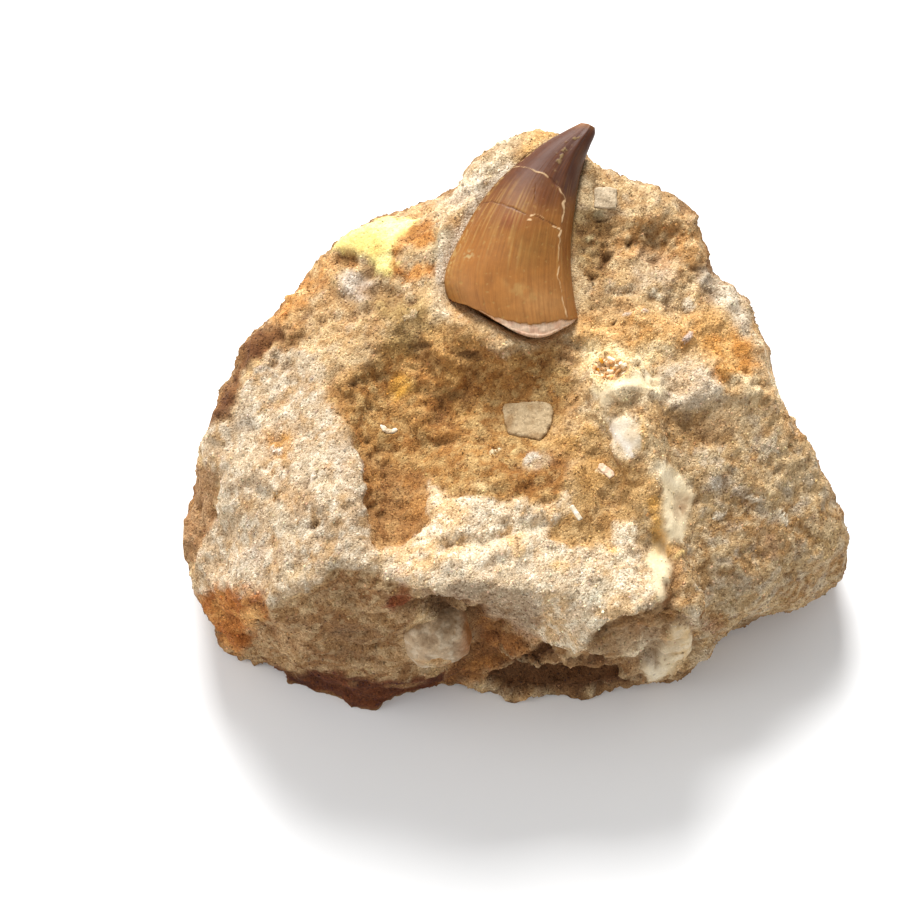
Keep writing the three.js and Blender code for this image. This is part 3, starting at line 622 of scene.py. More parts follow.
ZONE_TONES = [  # strength, zone, its own colour and the tones of its patches
    (0.9, "left_rim", (196, 144, 84), (150, 96, 48), (216, 184, 134), (184, 122, 58)),
    (0.9, "upper_grey", (206, 192, 176), (170, 150, 132), (232, 220, 200)),
    (0.9, "brown_crumb", (196, 146, 90), (136, 96, 48), (214, 176, 124), (158, 112, 60), (226, 200, 154)),
    (0.9, "ochre_band", (206, 160, 102), (182, 126, 64), (222, 188, 136), (206, 160, 98)),
    (0.85, "cream_band", (232, 208, 160), (208, 160, 96), (240, 226, 190)),
    (0.9, "right_slope", (180, 150, 108), (140, 98, 50), (190, 178, 158), (160, 118, 68), (216, 194, 156)),
    (0.8, "grey_rim", (196, 184, 164), (160, 140, 116), (226, 212, 188)),
    (0.8, "rim_right", (222, 198, 160), (198, 150, 90), (236, 222, 194)),
    (0.9, "brown_bowl", (160, 114, 58), (124, 80, 34), (186, 150, 96), (146, 94, 40), (194, 164, 112)),
    (0.9, "dark_bowl", (172, 124, 66), (120, 76, 34), (188, 152, 100), (142, 90, 40), (206, 164, 104)),
    (0.85, "olive_streak", (166, 138, 88), (128, 98, 54), (190, 160, 112), (110, 84, 50)),
    (0.9, "trough", (158, 114, 66), (128, 84, 42), (180, 142, 92), (172, 118, 58)),
    (0.9, "ochre_side", (180, 142, 90), (150, 106, 56), (202, 170, 122), (188, 142, 80)),
    (0.95, "pale_slab", (186, 160, 128), (150, 130, 106), (176, 138, 90), (202, 184, 156), (212, 200, 178)),
    (0.95, "pale_shelf", (216, 192, 160), (188, 168, 138), (230, 212, 180), (208, 166, 110),
     (234, 222, 198)),
    (0.95, "front_shade", (182, 158, 130), (150, 128, 104), (198, 180, 152), (146, 108, 68)),
    (0.9, "front_brown", (158, 120, 78), (112, 72, 38), (188, 156, 116), (130, 86, 46), (196, 170, 130)),
    (0.9, "rusty_under", (156, 100, 50), (112, 66, 34), (186, 128, 66), (96, 60, 38)),
    (0.95, "wedge", (192, 162, 122), (160, 112, 58), (210, 188, 152), (146, 118, 84)),
    # The recess: its own dark brown, darkened further with painted shade.
    (0.95, "shaded_recess", (78, 46, 28), (58, 34, 22), (104, 68, 44)),
    # The foot: its own mauve-brown, darkened further with painted shade.
    (0.95, "shaded_foot", (94, 46, 22), (70, 34, 16), (118, 66, 34)),
    (0.8, "niche_shade", (128, 94, 60), (96, 66, 40), (156, 120, 82)),
    # Painted shadow over the brown of the left flank.
    (0.95, "shadowed_flank", (108, 68, 36), (80, 46, 24), (140, 98, 56)),
    (0.9, "side_lobe", (156, 118, 80), (130, 88, 50), (180, 146, 108)),
    (0.95, "rust_corner", (178, 110, 50), (138, 76, 30), (206, 152, 86), (160, 94, 40)),
    (0.9, "dark_pitted", (170, 134, 84), (110, 78, 42), (188, 166, 124), (132, 94, 52)),
    (0.85, "dark_by_crown", (138, 120, 88), (92, 78, 58), (170, 150, 116)),
    (0.9, "grey_lump", (208, 190, 164), (184, 164, 138), (226, 210, 184), (198, 160, 112)),
    (0.75, "shade_under_lump", (190, 150, 98), (146, 104, 56), (204, 176, 134), (170, 126, 72)),
    (0.9, "orange_side", (200, 142, 72), (172, 106, 42), (220, 180, 120), (190, 128, 58)),
    (0.9, "white_bank", (206, 184, 150), (168, 138, 98), (226, 212, 186), (180, 148, 108), (136, 114, 86)),
    (0.95, "yellow_crust", (236, 222, 142), (240, 214, 130), (232, 226, 168), (222, 180, 96)),
    (0.9, "imprint", (164, 118, 66), (128, 90, 52), (196, 160, 104)),
    (0.9, "rust_streaks", (186, 126, 62), (150, 88, 34), (210, 164, 104), (120, 74, 34))]
for strength, name, *tones in ZONE_TONES:
    mottle(stain_and_shading, strength * zone[name], tones, patches)
mottle(stain_and_shading, 0.9 * calcite, ((220, 200, 164), (204, 166, 108), (232, 218, 192)), patches)
tint(stain_and_shading, 0.4 * zone["calcite_lens"], (224, 214, 198))
tint(stain_and_shading, 0.45 * zone["calcite_cap"], (238, 222, 186))
tint(stain_and_shading, 0.75 * zone["calcite_column"], (246, 226, 186))
for strength, line, width, colour in [
        (0.8, [(31.1, -7.6), (31.8, -12.1), (33.2, -15.6)], 1.3, (216, 162, 82)),
        (0.6, [(31.6, -3.0), (33.6, -4.6)], 1.4, (240, 224, 192)),
        (0.75, [(-1.4, 26.6), (0.2, 30.6), (4.0, 37.4), (8.6, 42.6)], 1.3, (242, 230, 208)),
        (0.6, [(12.0, 46.0), (16.0, 48.6)], 1.6, (206, 158, 90)),
        (0.6, [(28.4, 4.6), (29.4, 0.6)], 0.8, (222, 176, 104)),
        (0.5, [(24.6, 3.6), (28.0, -0.6)], 0.8, (232, 228, 222)),
        (0.5, [(28.6, 10.0), (31.6, 8.4)], 1.2, (244, 226, 180))]:
    tint(stain_and_shading, strength * along_line(sheet_spots, line, width) * seen, colour)
# Painted shade: the top of the niche over the nodule is darkened.
tint(stain_and_shading, 0.85 * niche_top * smooth(sheet_spots[:, 0], -5, -1), (80, 58, 40))
TOUCHES = [  # strength, place on the map, half its length and width, turn and colour
    (0.8, (-25.8, 1.2), (4.2, 3.0), 0, (206, 146, 66)),
    (0.5, (-24.7, -7.1), (4.0, 2.2), 35, (204, 158, 100)),
    (0.5, (-26.5, 2.0), (1.6, 1.2), 0, (150, 112, 80)),
    (0.9, (-7.3, 9.6), (2.4, 2.8), -20, (222, 166, 66)),
    (0.8, (13.5, -1.4), (2.6, 2.1), 0, (194, 180, 158)),
    (0.6, (4.8, -5.6), (3.2, 1.3), 0, (226, 200, 150)),
    (0.6, (-29.5, -16.5), (4.5, 3.5), 20, (196, 180, 162)),
    (0.55, (-31.0, 4.0), (3.2, 2.0), 0, (190, 176, 158)),
    (0.55, (-16.2, -1.0), (1.8, 3.0), 0, (196, 188, 172)),
    (0.5, (12.5, -12.2), (3.5, 1.2), 25, (164, 158, 140)),
    (0.7, (16.5, -18.0), (2.4, 1.4), -20, (226, 178, 100)),
    (0.7, (24.2, -15.2), (1.8, 1.2), 0, (226, 170, 88)),
    (0.6, (22.0, -21.5), (5.5, 2.2), 10, (196, 192, 172)),
    (0.7, (31.3, -14.0), (1.2, 3.0), 0, (222, 168, 70)),
    (0.8, (33.2, -22.0), (1.6, 3.5), 10, (140, 84, 34)),
    (0.7, (35.2, -8.5), (2.4, 3.2), 0, (140, 92, 44)),
    (0.6, (41.0, -5.0), (4.0, 2.2), 0, (184, 176, 164)),
    (0.6, (48.0, -14.0), (3.2, 3.6), 0, (166, 110, 50)),
    (0.55, (44.0, -20.0), (4.5, 2.4), 0, (180, 168, 146)),
    (0.6, (52.0, -3.0), (3.2, 3.4), 0, (206, 182, 142)),
    (0.5, (57.0, -14.0), (3.5, 4.5), 0, (196, 164, 112)),
    (0.6, (39.0, -26.0), (3.0, 2.4), 0, (150, 96, 44)),
    (0.6, (-7.4, -18.6), (2.6, 1.3), 0, (140, 122, 110)),
    (0.9, (-7.2, -21.5), (1.7, 2.2), 0, (134, 62, 24)),
    (0.8, (24.2, 12.2), (3.1, 2.2), 0, (224, 180, 128)),
    (0.8, (24.0, 9.9), (3.6, 0.8), 5, (242, 222, 172)),
    (0.9, (26.3, 11.3), (0.8, 0.7), 0, (232, 164, 40)),
    (0.6, (31.0, 27.6), (5.0, 4.0), 0, (200, 180, 156)),
    (0.8, (22.2, 36.4), (1.8, 1.8), 0, (150, 136, 106)),
    (0.5, (20.0, 21.8), (2.0, 3.0), 0, (206, 176, 128)),
    (0.7, (9.0, 15.6), (5.0, 1.6), 0, (222, 200, 162)),
    (0.6, (-12.8, 15.0), (4.0, 2.2), 0, (150, 118, 82)),
    (0.7, (-1.6, 28.0), (0.9, 4.5), -8, (240, 232, 214)),
    (0.5, (-25.5, 23.0), (4.0, 2.4), 30, (214, 164, 96)),
    (1.0, (-7.9, -22.8), (2.4, 2.3), 30, (112, 50, 16)),
    (0.9, (-29.6, -24.8), (1.7, 2.1), 10, (236, 190, 122)),
    (0.7, (-15.0, -28.6), (6.5, 4.0), 0, (112, 76, 46)),
    (0.4, (-24.0, -28.5), (3.0, 3.0), 0, (176, 140, 98)),
    # Painted shadow under the slab's tongue, on the wedge (this and the next).
    (0.8, (22.5, -28.6), (3.4, 1.5), 25, (104, 76, 46)),
    (0.7, (28.6, -26.6), (2.4, 1.2), 15, (132, 100, 62)),
    (0.9, (28.6, -31.8), (3.8, 2.2), -20, (214, 194, 160)),
    (0.8, (-8.2, -22.6), (1.9, 1.8), 0, (124, 50, 10)),
    (0.5, (33.3, -30.0), (1.8, 1.4), 0, (160, 130, 92)),
    (0.8, (37.0, -25.6), (1.5, 2.6), -20, (206, 190, 164)),
    (0.8, (34.8, -28.6), (1.3, 1.3), 0, (196, 180, 154)),
    (0.5, (26.5, 7.4), (4.4, 1.7), -10, (232, 208, 162)),
    (0.6, (29.6, -27.4), (0.9, 1.4), 20, (180, 118, 58)),
    (0.6, (2.0, 39.5), (4.8, 2.8), 35, (242, 232, 214)),
    (0.6, (26.6, 8.4), (3.0, 1.4), -8, (230, 210, 174)),
    (0.6, (-22.5, -19.0), (3.5, 1.2), 20, (206, 176, 130)),
    (0.7, (-1.0, -29.0), (3.0, 1.6), 0, (110, 66, 34)),
    (0.55, (1.5, 14.4), (6.0, 2.3), 0, (214, 162, 98)),
    (0.65, (41.7, 4.5), (5.3, 3.0), 0, (230, 202, 160)),
    (0.5, (29.1, -29.5), (4.2, 3.0), 0, (216, 192, 158)),
    (0.55, (34.4, -18.9), (1.9, 5.3), 0, (184, 128, 62)),
    (0.45, (-22.7, -7.6), (2.5, 2.5), 0, (194, 148, 96)),
    (0.45, (47.0, -4.5), (3.0, 3.0), 0, (222, 188, 138)),
    (0.5, (28.8, 7.6), (2.6, 2.4), 0, (240, 216, 178)),
    (0.8, (30.4, -31.2), (4.8, 3.4), 25, (218, 202, 172)),
    (0.7, (33.3, -25.8), (2.2, 1.2), 20, (206, 148, 76)),
    (0.7, (32.6, -29.4), (0.9, 1.4), 20, (182, 130, 68)),
    (0.8, (31.2, -33.4), (1.6, 1.5), 0, (234, 224, 202))]
for strength, at, radii, turn, colour in TOUCHES:
    mask = strength * blob(sheet_spots, at, radii, turn, 0.7) * seen
    tint(stain_and_shading, mask * (0.55 + 0.45 * patches[1]), colour)
for mask, (_, _, _, colour) in zip(fleck_masks, FLECKS):
    tint(stain_and_shading, 0.85 * mask, colour)
# Painted shade: the bottoms of the pits are darkened.
tint(stain_and_shading, 0.75 * pitted, (96, 68, 42))
# Painted shade: hollows more than 0.2 mm deep in the relief are darkened.
tint(stain_and_shading, np.clip(-0.9 * hollowness, 0, 0.45), (118, 80, 44))
# Painted shade: faces that point down and away from the camera are darkened.
underside_shade = smooth(-ways[:, 2], 0.2, 0.7)
tint(stain_and_shading, 0.5 * underside_shade * (1 - seen), (150, 112, 74))


def paint(mesh, name, colours):
    """Stores a colour for each vertex under that name."""
    layer = mesh.color_attributes.new(name, "FLOAT_COLOR", "POINT")
    layer.data.foreach_set("color", np.column_stack([colours, np.ones(len(colours))]).ravel())


paint(block.data, "stain_and_shading", stain_and_shading)
grit = 1 - 0.75 * np.clip(calcite + 0.5 * zone["yellow_crust"] + 0.4 * zone["wedge"], 0, 1)
paint(block.data, "grit", np.repeat(grit[:, None], 3, axis=1))


def node_in(tree, kind, inputs=(), **settings):
    """A new node of that kind, with its settings set and its inputs linked or set."""
    node = tree.nodes.new(kind)
    for key, value in settings.items():
        setattr(node, key, value)
    for key, value in dict(inputs).items():
        if isinstance(value, bpy.types.NodeSocket):
            tree.links.new(value, node.inputs[key])
        else:
            node.inputs[key].default_value = value
    return node


def blend(tree, how, share, first, second):
    """A colour mix node's result."""
    mix = node_in(tree, "ShaderNodeMix", {0: share, 6: first, 7: second}, data_type="RGBA", blend_type=how)
    return mix.outputs[2]


def sum_of(tree, how, first, second, third=None):
    """A Math node's result."""
    inputs = {0: first, 1: second} if third is None else {0: first, 1: second, 2: third}
    return node_in(tree, "ShaderNodeMath", inputs, operation=how).outputs[0]


def new_group(name, inputs, outputs):
    """An empty shader node group with these sockets, its input node and its output node."""
    group = bpy.data.node_groups.new(name, "ShaderNodeTree")
    for socket, (kind, value) in inputs.items():
        made = group.interface.new_socket(socket, in_out="INPUT", socket_type=kind)
        if value is not None:
            made.default_value = value
    for socket, kind in outputs.items():
        group.interface.new_socket(socket, in_out="OUTPUT", socket_type=kind)
    return group, group.nodes.new("NodeGroupInput"), group.nodes.new("NodeGroupOutput")


# Sand grains in the stone: each grain has its own lightness, a few are white or nearly black.
sandy, sandy_in, sandy_out = new_group(
    "sand_grain",
    {"Color": ("NodeSocketColor", None), "Grain Size": ("NodeSocketFloat", 0.42),
     "Contrast": ("NodeSocketFloat", 1.0)},
    {"Color": "NodeSocketColor", "Height": "NodeSocketFloat"})
per_metre = sum_of(sandy, "DIVIDE", 1 / MM, sandy_in.outputs["Grain Size"])
where = node_in(sandy, "ShaderNodeTexCoord").outputs["Object"]
stir = node_in(sandy, "ShaderNodeTexNoise", {"Vector": where, "Scale": 1600.0, "Detail": 2.0})
stirred = node_in(sandy, "ShaderNodeVectorMath", {
    0: stir.outputs["Color"], 1: (0.0004, 0.0004, 0.0004), 2: where}, operation="MULTIPLY_ADD").outputs[0]
grains = node_in(sandy, "ShaderNodeTexVoronoi", {"Vector": stirred, "Scale": per_metre})
fine = node_in(sandy, "ShaderNodeTexVoronoi", {
    "Vector": stirred, "Scale": sum_of(sandy, "MULTIPLY", per_metre, 2.1)})
lightness = node_in(sandy, "ShaderNodeSeparateColor", {0: grains.outputs["Color"]}).outputs[0]
fine_light = node_in(sandy, "ShaderNodeSeparateColor", {0: fine.outputs["Color"]}).outputs[1]
levels = node_in(sandy, "ShaderNodeValToRGB", {0: lightness})
ramp = levels.color_ramp
ramp.elements[0].position, ramp.elements[0].color = 0.0, (0.36, 0.30, 0.24, 1)
ramp.elements[1].position, ramp.elements[1].color = 1.0, (1.55, 1.6, 1.65, 1)
for position, colour in [
    (0.05, (0.52, 0.44, 0.36, 1)), (0.16, (0.80, 0.74, 0.66, 1)), (0.5, (0.98, 0.96, 0.94, 1)),
    (0.82, (1.10, 1.10, 1.10, 1)), (0.95, (1.36, 1.38, 1.40, 1))]:
    ramp.elements.new(position).color = colour
fine_level = sum_of(sandy, "MULTIPLY_ADD", fine_light, 0.5, 0.75)
speckled = blend(sandy, "MULTIPLY", 1.0, sandy_in.outputs["Color"], levels.outputs[0])
speckled = blend(sandy, "MULTIPLY", 1.0, speckled, fine_level)
speckled = blend(sandy, "MIX", sandy_in.outputs["Contrast"], sandy_in.outputs["Color"], speckled)
sandy.links.new(speckled, sandy_out.inputs["Color"])
domes = sum_of(sandy, "SUBTRACT", 1.0, grains.outputs["Distance"])
fine_domes = sum_of(sandy, "MULTIPLY", fine.outputs["Distance"], -0.5)
sandy.links.new(sum_of(sandy, "ADD", domes, fine_domes), sandy_out.inputs["Height"])


def stone_finish(name, roughness=0.92, grain=0.27, contrast=0.85, depth=0.15, gritty=False):
    """Sandy stone that takes its colour from the piece's own painted colours."""
    material = bpy.data.materials.new(name)
    material.use_nodes = True
    tree = material.node_tree
    shader = tree.nodes["Principled BSDF"]
    shader.inputs["Roughness"].default_value = roughness
    shader.inputs["Specular IOR Level"].default_value = 0.25
    painted = node_in(tree, "ShaderNodeAttribute", attribute_name="stain_and_shading")
    sand = node_in(tree, "ShaderNodeGroup", node_tree=sandy)
    tree.links.new(painted.outputs["Color"], sand.inputs["Color"])
    sand.inputs["Grain Size"].default_value = grain
    sand.inputs["Contrast"].default_value = contrast
    strength = 0.8
    if gritty:
        grit_here = node_in(tree, "ShaderNodeAttribute", attribute_name="grit").outputs["Fac"]
        tree.links.new(sum_of(tree, "MULTIPLY", grit_here, contrast), sand.inputs["Contrast"])
        strength = sum_of(tree, "MULTIPLY", grit_here, strength)
    bump = node_in(tree, "ShaderNodeBump", {
        "Height": sand.outputs["Height"], "Strength": strength, "Distance": depth * MM})
    tree.links.new(sand.outputs["Color"], shader.inputs["Base Color"])
    tree.links.new(bump.outputs[0], shader.inputs["Normal"])
    return material


sandstone = stone_finish("sandstone", gritty=True)
block.data.materials.append(sandstone)
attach(block, "root")
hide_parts("matrix")

# ---- Crystals in the pocket ----
# A pocket right of the crown is lined with small honey-coloured calcite crystals. Each is a
# six-sided spar with a blunt point, grown into the pocket's floor.
CRYSTALS = 46
CRYSTAL_SPREAD = (2.5, 1.7)
chance = np.random.default_rng(77)
pocket_tree = BVHTree.FromObject(block, bpy.context.evaluated_depsgraph_get())
HONEY_TONES = [(236, 204, 160), (244, 226, 196), (226, 176, 120), (238, 182, 74)]
spar = np.array([(math.cos(math.radians(60 * k)), math.sin(math.radians(60 * k)), z)
                 for z in (-0.9, 0.35) for k in range(6)] + [(0, 0, -1.0), (0, 0, 1.0)])
spar_faces = [(k, (k + 1) % 6, 6 + (k + 1) % 6, 6 + k) for k in range(6)]
spar_faces += [(6 + k, 6 + (k + 1) % 6, 13) for k in range(6)]
spar_faces += [((k + 1) % 6, k, 12) for k in range(6)]
crystal_spots, crystal_faces, crystal_stain = [], [], []
for k in range(CRYSTALS):
    out, way = math.sqrt(chance.random()), chance.uniform(0, 2 * math.pi)
    flat_spot = POCKET + (CRYSTAL_SPREAD[0] * out * math.cos(way), CRYSTAL_SPREAD[1] * out * math.sin(way))
    through = SIGHT * SHEET_AWAY + flat_spot[0] * np.array([1, 0, 0]) + flat_spot[1] * SHEET_UP
    hit, normal, _, _ = pocket_tree.ray_cast(place(*EYE), Vector(through))
    turn = (Vector(normal) + 0.7 * Vector(chance.normal(size=3))).to_track_quat("Z", "Y").to_matrix()
    half, thick = chance.uniform(0.45, 0.8), chance.uniform(0.2, 0.36)
    spun = spar * (thick, thick, half) @ np.array(turn).T
    crystal_faces += [tuple(len(crystal_spots) + i for i in face) for face in spar_faces]
    crystal_spots += list(np.array(hit) + spun * MM)
    tone = HONEY_TONES[chance.choice(4, p=[0.4, 0.3, 0.2, 0.1])]
    crystal_stain += [shade(*tone) * chance.uniform(0.8, 1.1)] * len(spar)
crystal_mesh = bpy.data.meshes.new("pocket_crystals")
crystal_mesh.from_pydata(crystal_spots, [], crystal_faces)
crystals = piece_from("pocket_crystals", crystal_mesh)
paint(crystal_mesh, "stain_and_shading", np.array(crystal_stain))
crystal_mesh.materials.append(
    stone_finish("pocket_crystals", roughness=0.3, grain=0.3, contrast=0.15, depth=0.02))
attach(crystals, "root")

# ---- Loose-lying sand grains ----
# Grains of quartz, lime and ironstone that stand proud of the broken stone, held by its cement.
# Each is an eight-sided bead with a little more than half of it in the stone.
GRAINS = 23000
GRAIN_SINK = 0.1
chance = np.random.default_rng(414)
block.data.calc_loop_triangles()
triangles = np.array([t.vertices[:] for t in block.data.loop_triangles])
a, b, c = (spots[triangles[:, k]] for k in range(3))
cross = np.cross(b - a, c - a)
area = np.linalg.norm(cross, axis=1) / 2
middle_spots = (a + b + c) / 3
weight = area * smooth(open_stone[triangles[:, 0]], 0.3, 0.8) * smooth(middle_spots[:, 2], 0.3, 0.8)
weight *= 1 - 0.75 * (zone["yellow_crust"] + calcite)[triangles[:, 0]].clip(0, 1)
picked = chance.choice(len(triangles), GRAINS, p=weight / weight.sum())
mix = chance.dirichlet((1, 1, 1), GRAINS)
seats = mix[:, :1] * a[picked] + mix[:, 1:2] * b[picked] + mix[:, 2:] * c[picked]
normals = cross[picked] / (2 * area[picked, None])
sizes = 0.13 + 0.16 * chance.random(GRAINS) ** 2
turned = np.linalg.qr(chance.normal(size=(GRAINS, 3, 3)))[0]
stretch = chance.uniform(0.7, 1.25, (GRAINS, 3, 1))
corners = np.array([(1, 0, 0), (-1, 0, 0), (0, 1, 0), (0, -1, 0), (0, 0, 1), (0, 0, -1)])
beads = np.einsum("kc,nci->nki", corners, turned * stretch) * sizes[:, None, None]
beads += (seats - normals * sizes[:, None] * GRAIN_SINK)[:, None, :]
beads = np.clip(beads, matrix_low, matrix_high)
bead_faces = np.array([(0, 2, 4), (2, 1, 4), (1, 3, 4), (3, 0, 4),
                       (2, 0, 5), (1, 2, 5), (3, 1, 5), (0, 3, 5)])
bead_faces = np.where(np.linalg.det(turned)[:, None, None] > 0, bead_faces, bead_faces[:, ::-1])
bead_faces = bead_faces + 6 * np.arange(GRAINS)[:, None, None]
grain_mesh = bpy.data.meshes.new("sand_grains")
grain_mesh.from_pydata((beads.reshape(-1, 3) + np.array(ORIGIN)) * MM, [], bead_faces.reshape(-1, 3))
grains_piece = piece_from("sand_grains", grain_mesh)
light = chance.choice([0.55, 0.8, 1.0, 1.2, 1.5], GRAINS, p=[0.12, 0.24, 0.3, 0.22, 0.12])
# Each grain takes the colour under it, painted shade included.
grain_stain_and_shading = stain_and_shading[triangles[picked, 0]] * light[:, None] * chance.uniform(0.93, 1.07, (GRAINS, 3))
grain_stain_and_shading = np.clip(grain_stain_and_shading, 0.02, 0.95)
paint(grain_mesh, "stain_and_shading", np.repeat(grain_stain_and_shading, 6, axis=0))
grain_mesh.materials.append(
    stone_finish("sand_grains", roughness=0.75, grain=0.2, contrast=0.3, depth=0.03))
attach(grains_piece, "root")

# ---- The crown ----
# The mosasaur's tooth crown: brown enamel over dentine, its root gone, lying on its side. Fine
# lines run from base to tip, and old cracks are filled with pale calcite.
# CROWN_DEPTH is its thickness as a share of its width, and CROWN_BOW how far its rings sag.
CROWN_DEPTH = 0.7
CROWN_BOW = 4.4
KEEL_HEIGHT = 0.35
KEEL_WIDTH = 0.14
KEEL_ANGLES = (math.radians(28), math.radians(72))
TIP_SLIMMING = 0.22
SPREAD = (0.9, 0.9, 0)


def edge_at(points, t):
    """The smooth curve through the points, at shares t of its length in points."""
    p = np.array(points, float)
    reach = t * (len(p) - 1)
    i = np.minimum(reach.astype(int), len(p) - 2)
    w = (reach - i)[:, None]
    p0, p1, p2, p3 = p[np.maximum(i - 1, 0)], p[i], p[i + 1], p[np.minimum(i + 2, len(p) - 1)]
    return p1 + w / 2 * (p2 - p0 + w * (2 * p0 - 5 * p1 + 4 * p2 - p3 + w * (3 * (p1 - p2) + p3 - p0)))


# Rings of points from the base to the tip. The first two rings are smaller: they round off the base.
ROWS, COLUMNS = 260, 300
t_rows = np.concatenate([[0.0, 0.0], np.linspace(0, 1, ROWS)])
ring_sizes = np.concatenate([[0.45, 0.8], np.ones(ROWS)])
ring_insets = np.concatenate([[0.5, 0.5], np.zeros(ROWS)])
share = np.linspace(0, 1, COLUMNS, endpoint=False)
angles = np.where(share < 0.75, share / 0.75 * math.pi, math.pi + (share - 0.75) / 0.25 * math.pi)
t, angle = np.repeat(t_rows, COLUMNS), np.tile(angles, len(t_rows))
size, inset = np.repeat(ring_sizes, COLUMNS), np.repeat(ring_insets, COLUMNS)
outer, inner = edge_at(OUTER_EDGE, t), edge_at(INNER_EDGE, t)
middle, half = (outer + inner) / 2, (inner - outer) / 2
half_width = np.linalg.norm(half, axis=1)
keel_angle = KEEL_ANGLES[0] + (KEEL_ANGLES[1] - KEEL_ANGLES[0]) * t
from_keel = np.arctan2(np.sin(angle - keel_angle), np.cos(angle - keel_angle))
keel = 1 + KEEL_HEIGHT / np.maximum(half_width, 2) * np.exp(-((from_keel / KEEL_WIDTH) ** 2))
side, out = np.cos(angle) * size * keel, np.sin(angle) * size * keel
bow = CROWN_BOW * np.sin(math.pi * np.clip((1 + side / keel) / 2, 0, 1) ** 1.5) * (1 - t) ** 4
across = middle[:, 0] + half[:, 0] * side
rise = middle[:, 1] + half[:, 1] * side - bow + inset
slimmer = 1 - TIP_SLIMMING * smooth(middle[:, 1], 13, 24)
lift = CROWN_DEPTH * half_width * out * slimmer

# The crown laid flat: across it, along its rise, and 0. One more point closes each end.
flat = np.stack([across, rise, 0 * lift], 1)
middle_tip = flat[-COLUMNS:].mean(0)
flat = np.vstack([flat, middle_tip + (0.05, 0.25, 0), flat[:COLUMNS].mean(0) + (0, 0.1, 0)])
lift = np.append(lift, [0, 0])
t, angle = np.append(t, [1, 0]), np.append(angle, [math.pi / 2, math.pi / 2])

# Enamel ends at this line, and the broken pale dentine shows below it.
ENAMEL_LINE = [(-11, 3.3), (-8.6, 1.9), (-6.5, 1.0), (-3.0, -0.8), (-0.5, -1.5), (2.5, -1.9), (5.5, -1.4),
               (7.5, -0.9), (9.7, -0.2), (11, 0.1)]
enamel_low = np.interp(flat[:, 0], *np.array(ENAMEL_LINE).T)
ragged = 0.22 * lumps(flat, 1.3, 51) + 0.12 * lumps(flat, 0.5, 52)
below_enamel = enamel_low + ragged - flat[:, 1]
dentine = smooth(below_enamel, -0.06, 0.06)

wandering = flat + 0.22 * np.stack([lumps(flat, 1.1, 53), lumps(flat, 1.3, 54), 0 * t], 1)
PALE_CRACKS = [  # each one's line, across and along the rise, and half its width
    ([(-0.4, 22.9), (0.9, 22.7), (2.8, 22.1)], 0.06), ([(2.8, 22.1), (4.9, 21.0)], 0.09),
    ([(3.8, 21.6), (5.2, 20.8)], 0.12), ([(6.6, 19.3), (7.4, 18.2), (7.7, 17.4)], 0.07),
    ([(7.6, 17.2), (7.3, 15.6)], 0.22), ([(7.3, 15.6), (7.1, 14.0)], 0.12),
    ([(6.8, 11.6), (6.6, 10.0)], 0.1), ([(6.6, 10.0), (6.5, 5.8)], 0.07),
    ([(6.5, 5.8), (7.1, 2.9), (7.8, -0.4)], 0.06), ([(6.6, 12.9), (5.7, 13.2)], 0.12),
    ([(2.4, 14.8), (3.4, 15.0)], 0.13), ([(1.9, 14.1), (2.4, 14.0)], 0.14),
    ([(3.5, 14.9), (4.6, 14.3)], 0.06), ([(6.9, 12.6), (6.7, 11.8)], 0.14)]
DARK_CRACKS = [
    ([(-5.4, 17.4), (-3.6, 17.2), (-2.1, 16.7), (-0.1, 15.8), (1.9, 15.0)], 0.09),
    ([(4.6, 21.3), (5.6, 20.6), (6.6, 19.4)], 0.1), ([(2.4, 15.0), (6.2, 13.3)], 0.08),
    ([(3.4, 19.7), (3.1, 18.2), (3.2, 17.0)], 0.07)]
pale_crack, dark_crack = np.zeros(len(flat)), np.zeros(len(flat))
for cracks, mask in ((PALE_CRACKS, pale_crack), (DARK_CRACKS, dark_crack)):
    for line, width in cracks:
        width = width * (1 + 0.9 * lumps(flat, 0.8, 55)) - 0.02
        off = from_line(wandering, line)
        np.maximum(mask, 1 - smooth(off - width, -0.08, 0.06), out=mask)
facing = smooth(np.sin(angle), 0.0, 0.3)
pale_crack *= facing
dark_crack *= facing * (1 - pale_crack)

# The face beyond the keel line near the tip is painted darker, partly its own darker brown and partly
# painted shade where it turns away from the light, and worn pale in spots along its edge.
BEYOND_TIP = [
    (11.8, 30.6), (9.6, 27.7), (8.2, 26.4), (7.0, 24.6), (6.2, 22.4), (5.4, 20.6), (7.2, 18.6),
    (7.7, 17.0), (14.0, 17.0), (14.0, 30.6)]
shaded_far_facet = smooth(depth_inside(wandering, BEYOND_TIP), -0.25, 0.25) * facing * smooth(flat[:, 1], 16.8, 19.5)
WORN_LINE = [(9.7, 27.6), (8.2, 26.2), (7.0, 24.4), (6.2, 22.2)]
edge_wear = np.exp(-(from_line(wandering, WORN_LINE) / 0.5) ** 2)
worn = edge_wear * smooth(lumps(flat, 0.7, 56) + 0.6 * lumps(flat, 0.35, 68), 0.1, 0.5) * facing
scuff = blob(wandering, (-6.9, 8.9), (1.2, 1.2), soft=0.9) * smooth(lumps(flat, 0.5, 57), -0.2, 0.3)
# How far round the crown and how far along it each spot is, in millimetres, for its fine lines.
lines = np.stack([8.5 * angle, 26 * t, 0 * t], 1)
fine_lines = lumps(lines * (1, 0.10, 1), 0.36, 58) + 0.6 * lumps(lines * (1, 0.05, 1), 0.9, 59)
strong_lines = smooth(flat[:, 1], 4, 9) * smooth(-flat[:, 1], -22, -17)
pitted = smooth(lumps(flat, 0.55, 60), 0.5, 0.75) * smooth(-flat[:, 1], -24, -10)

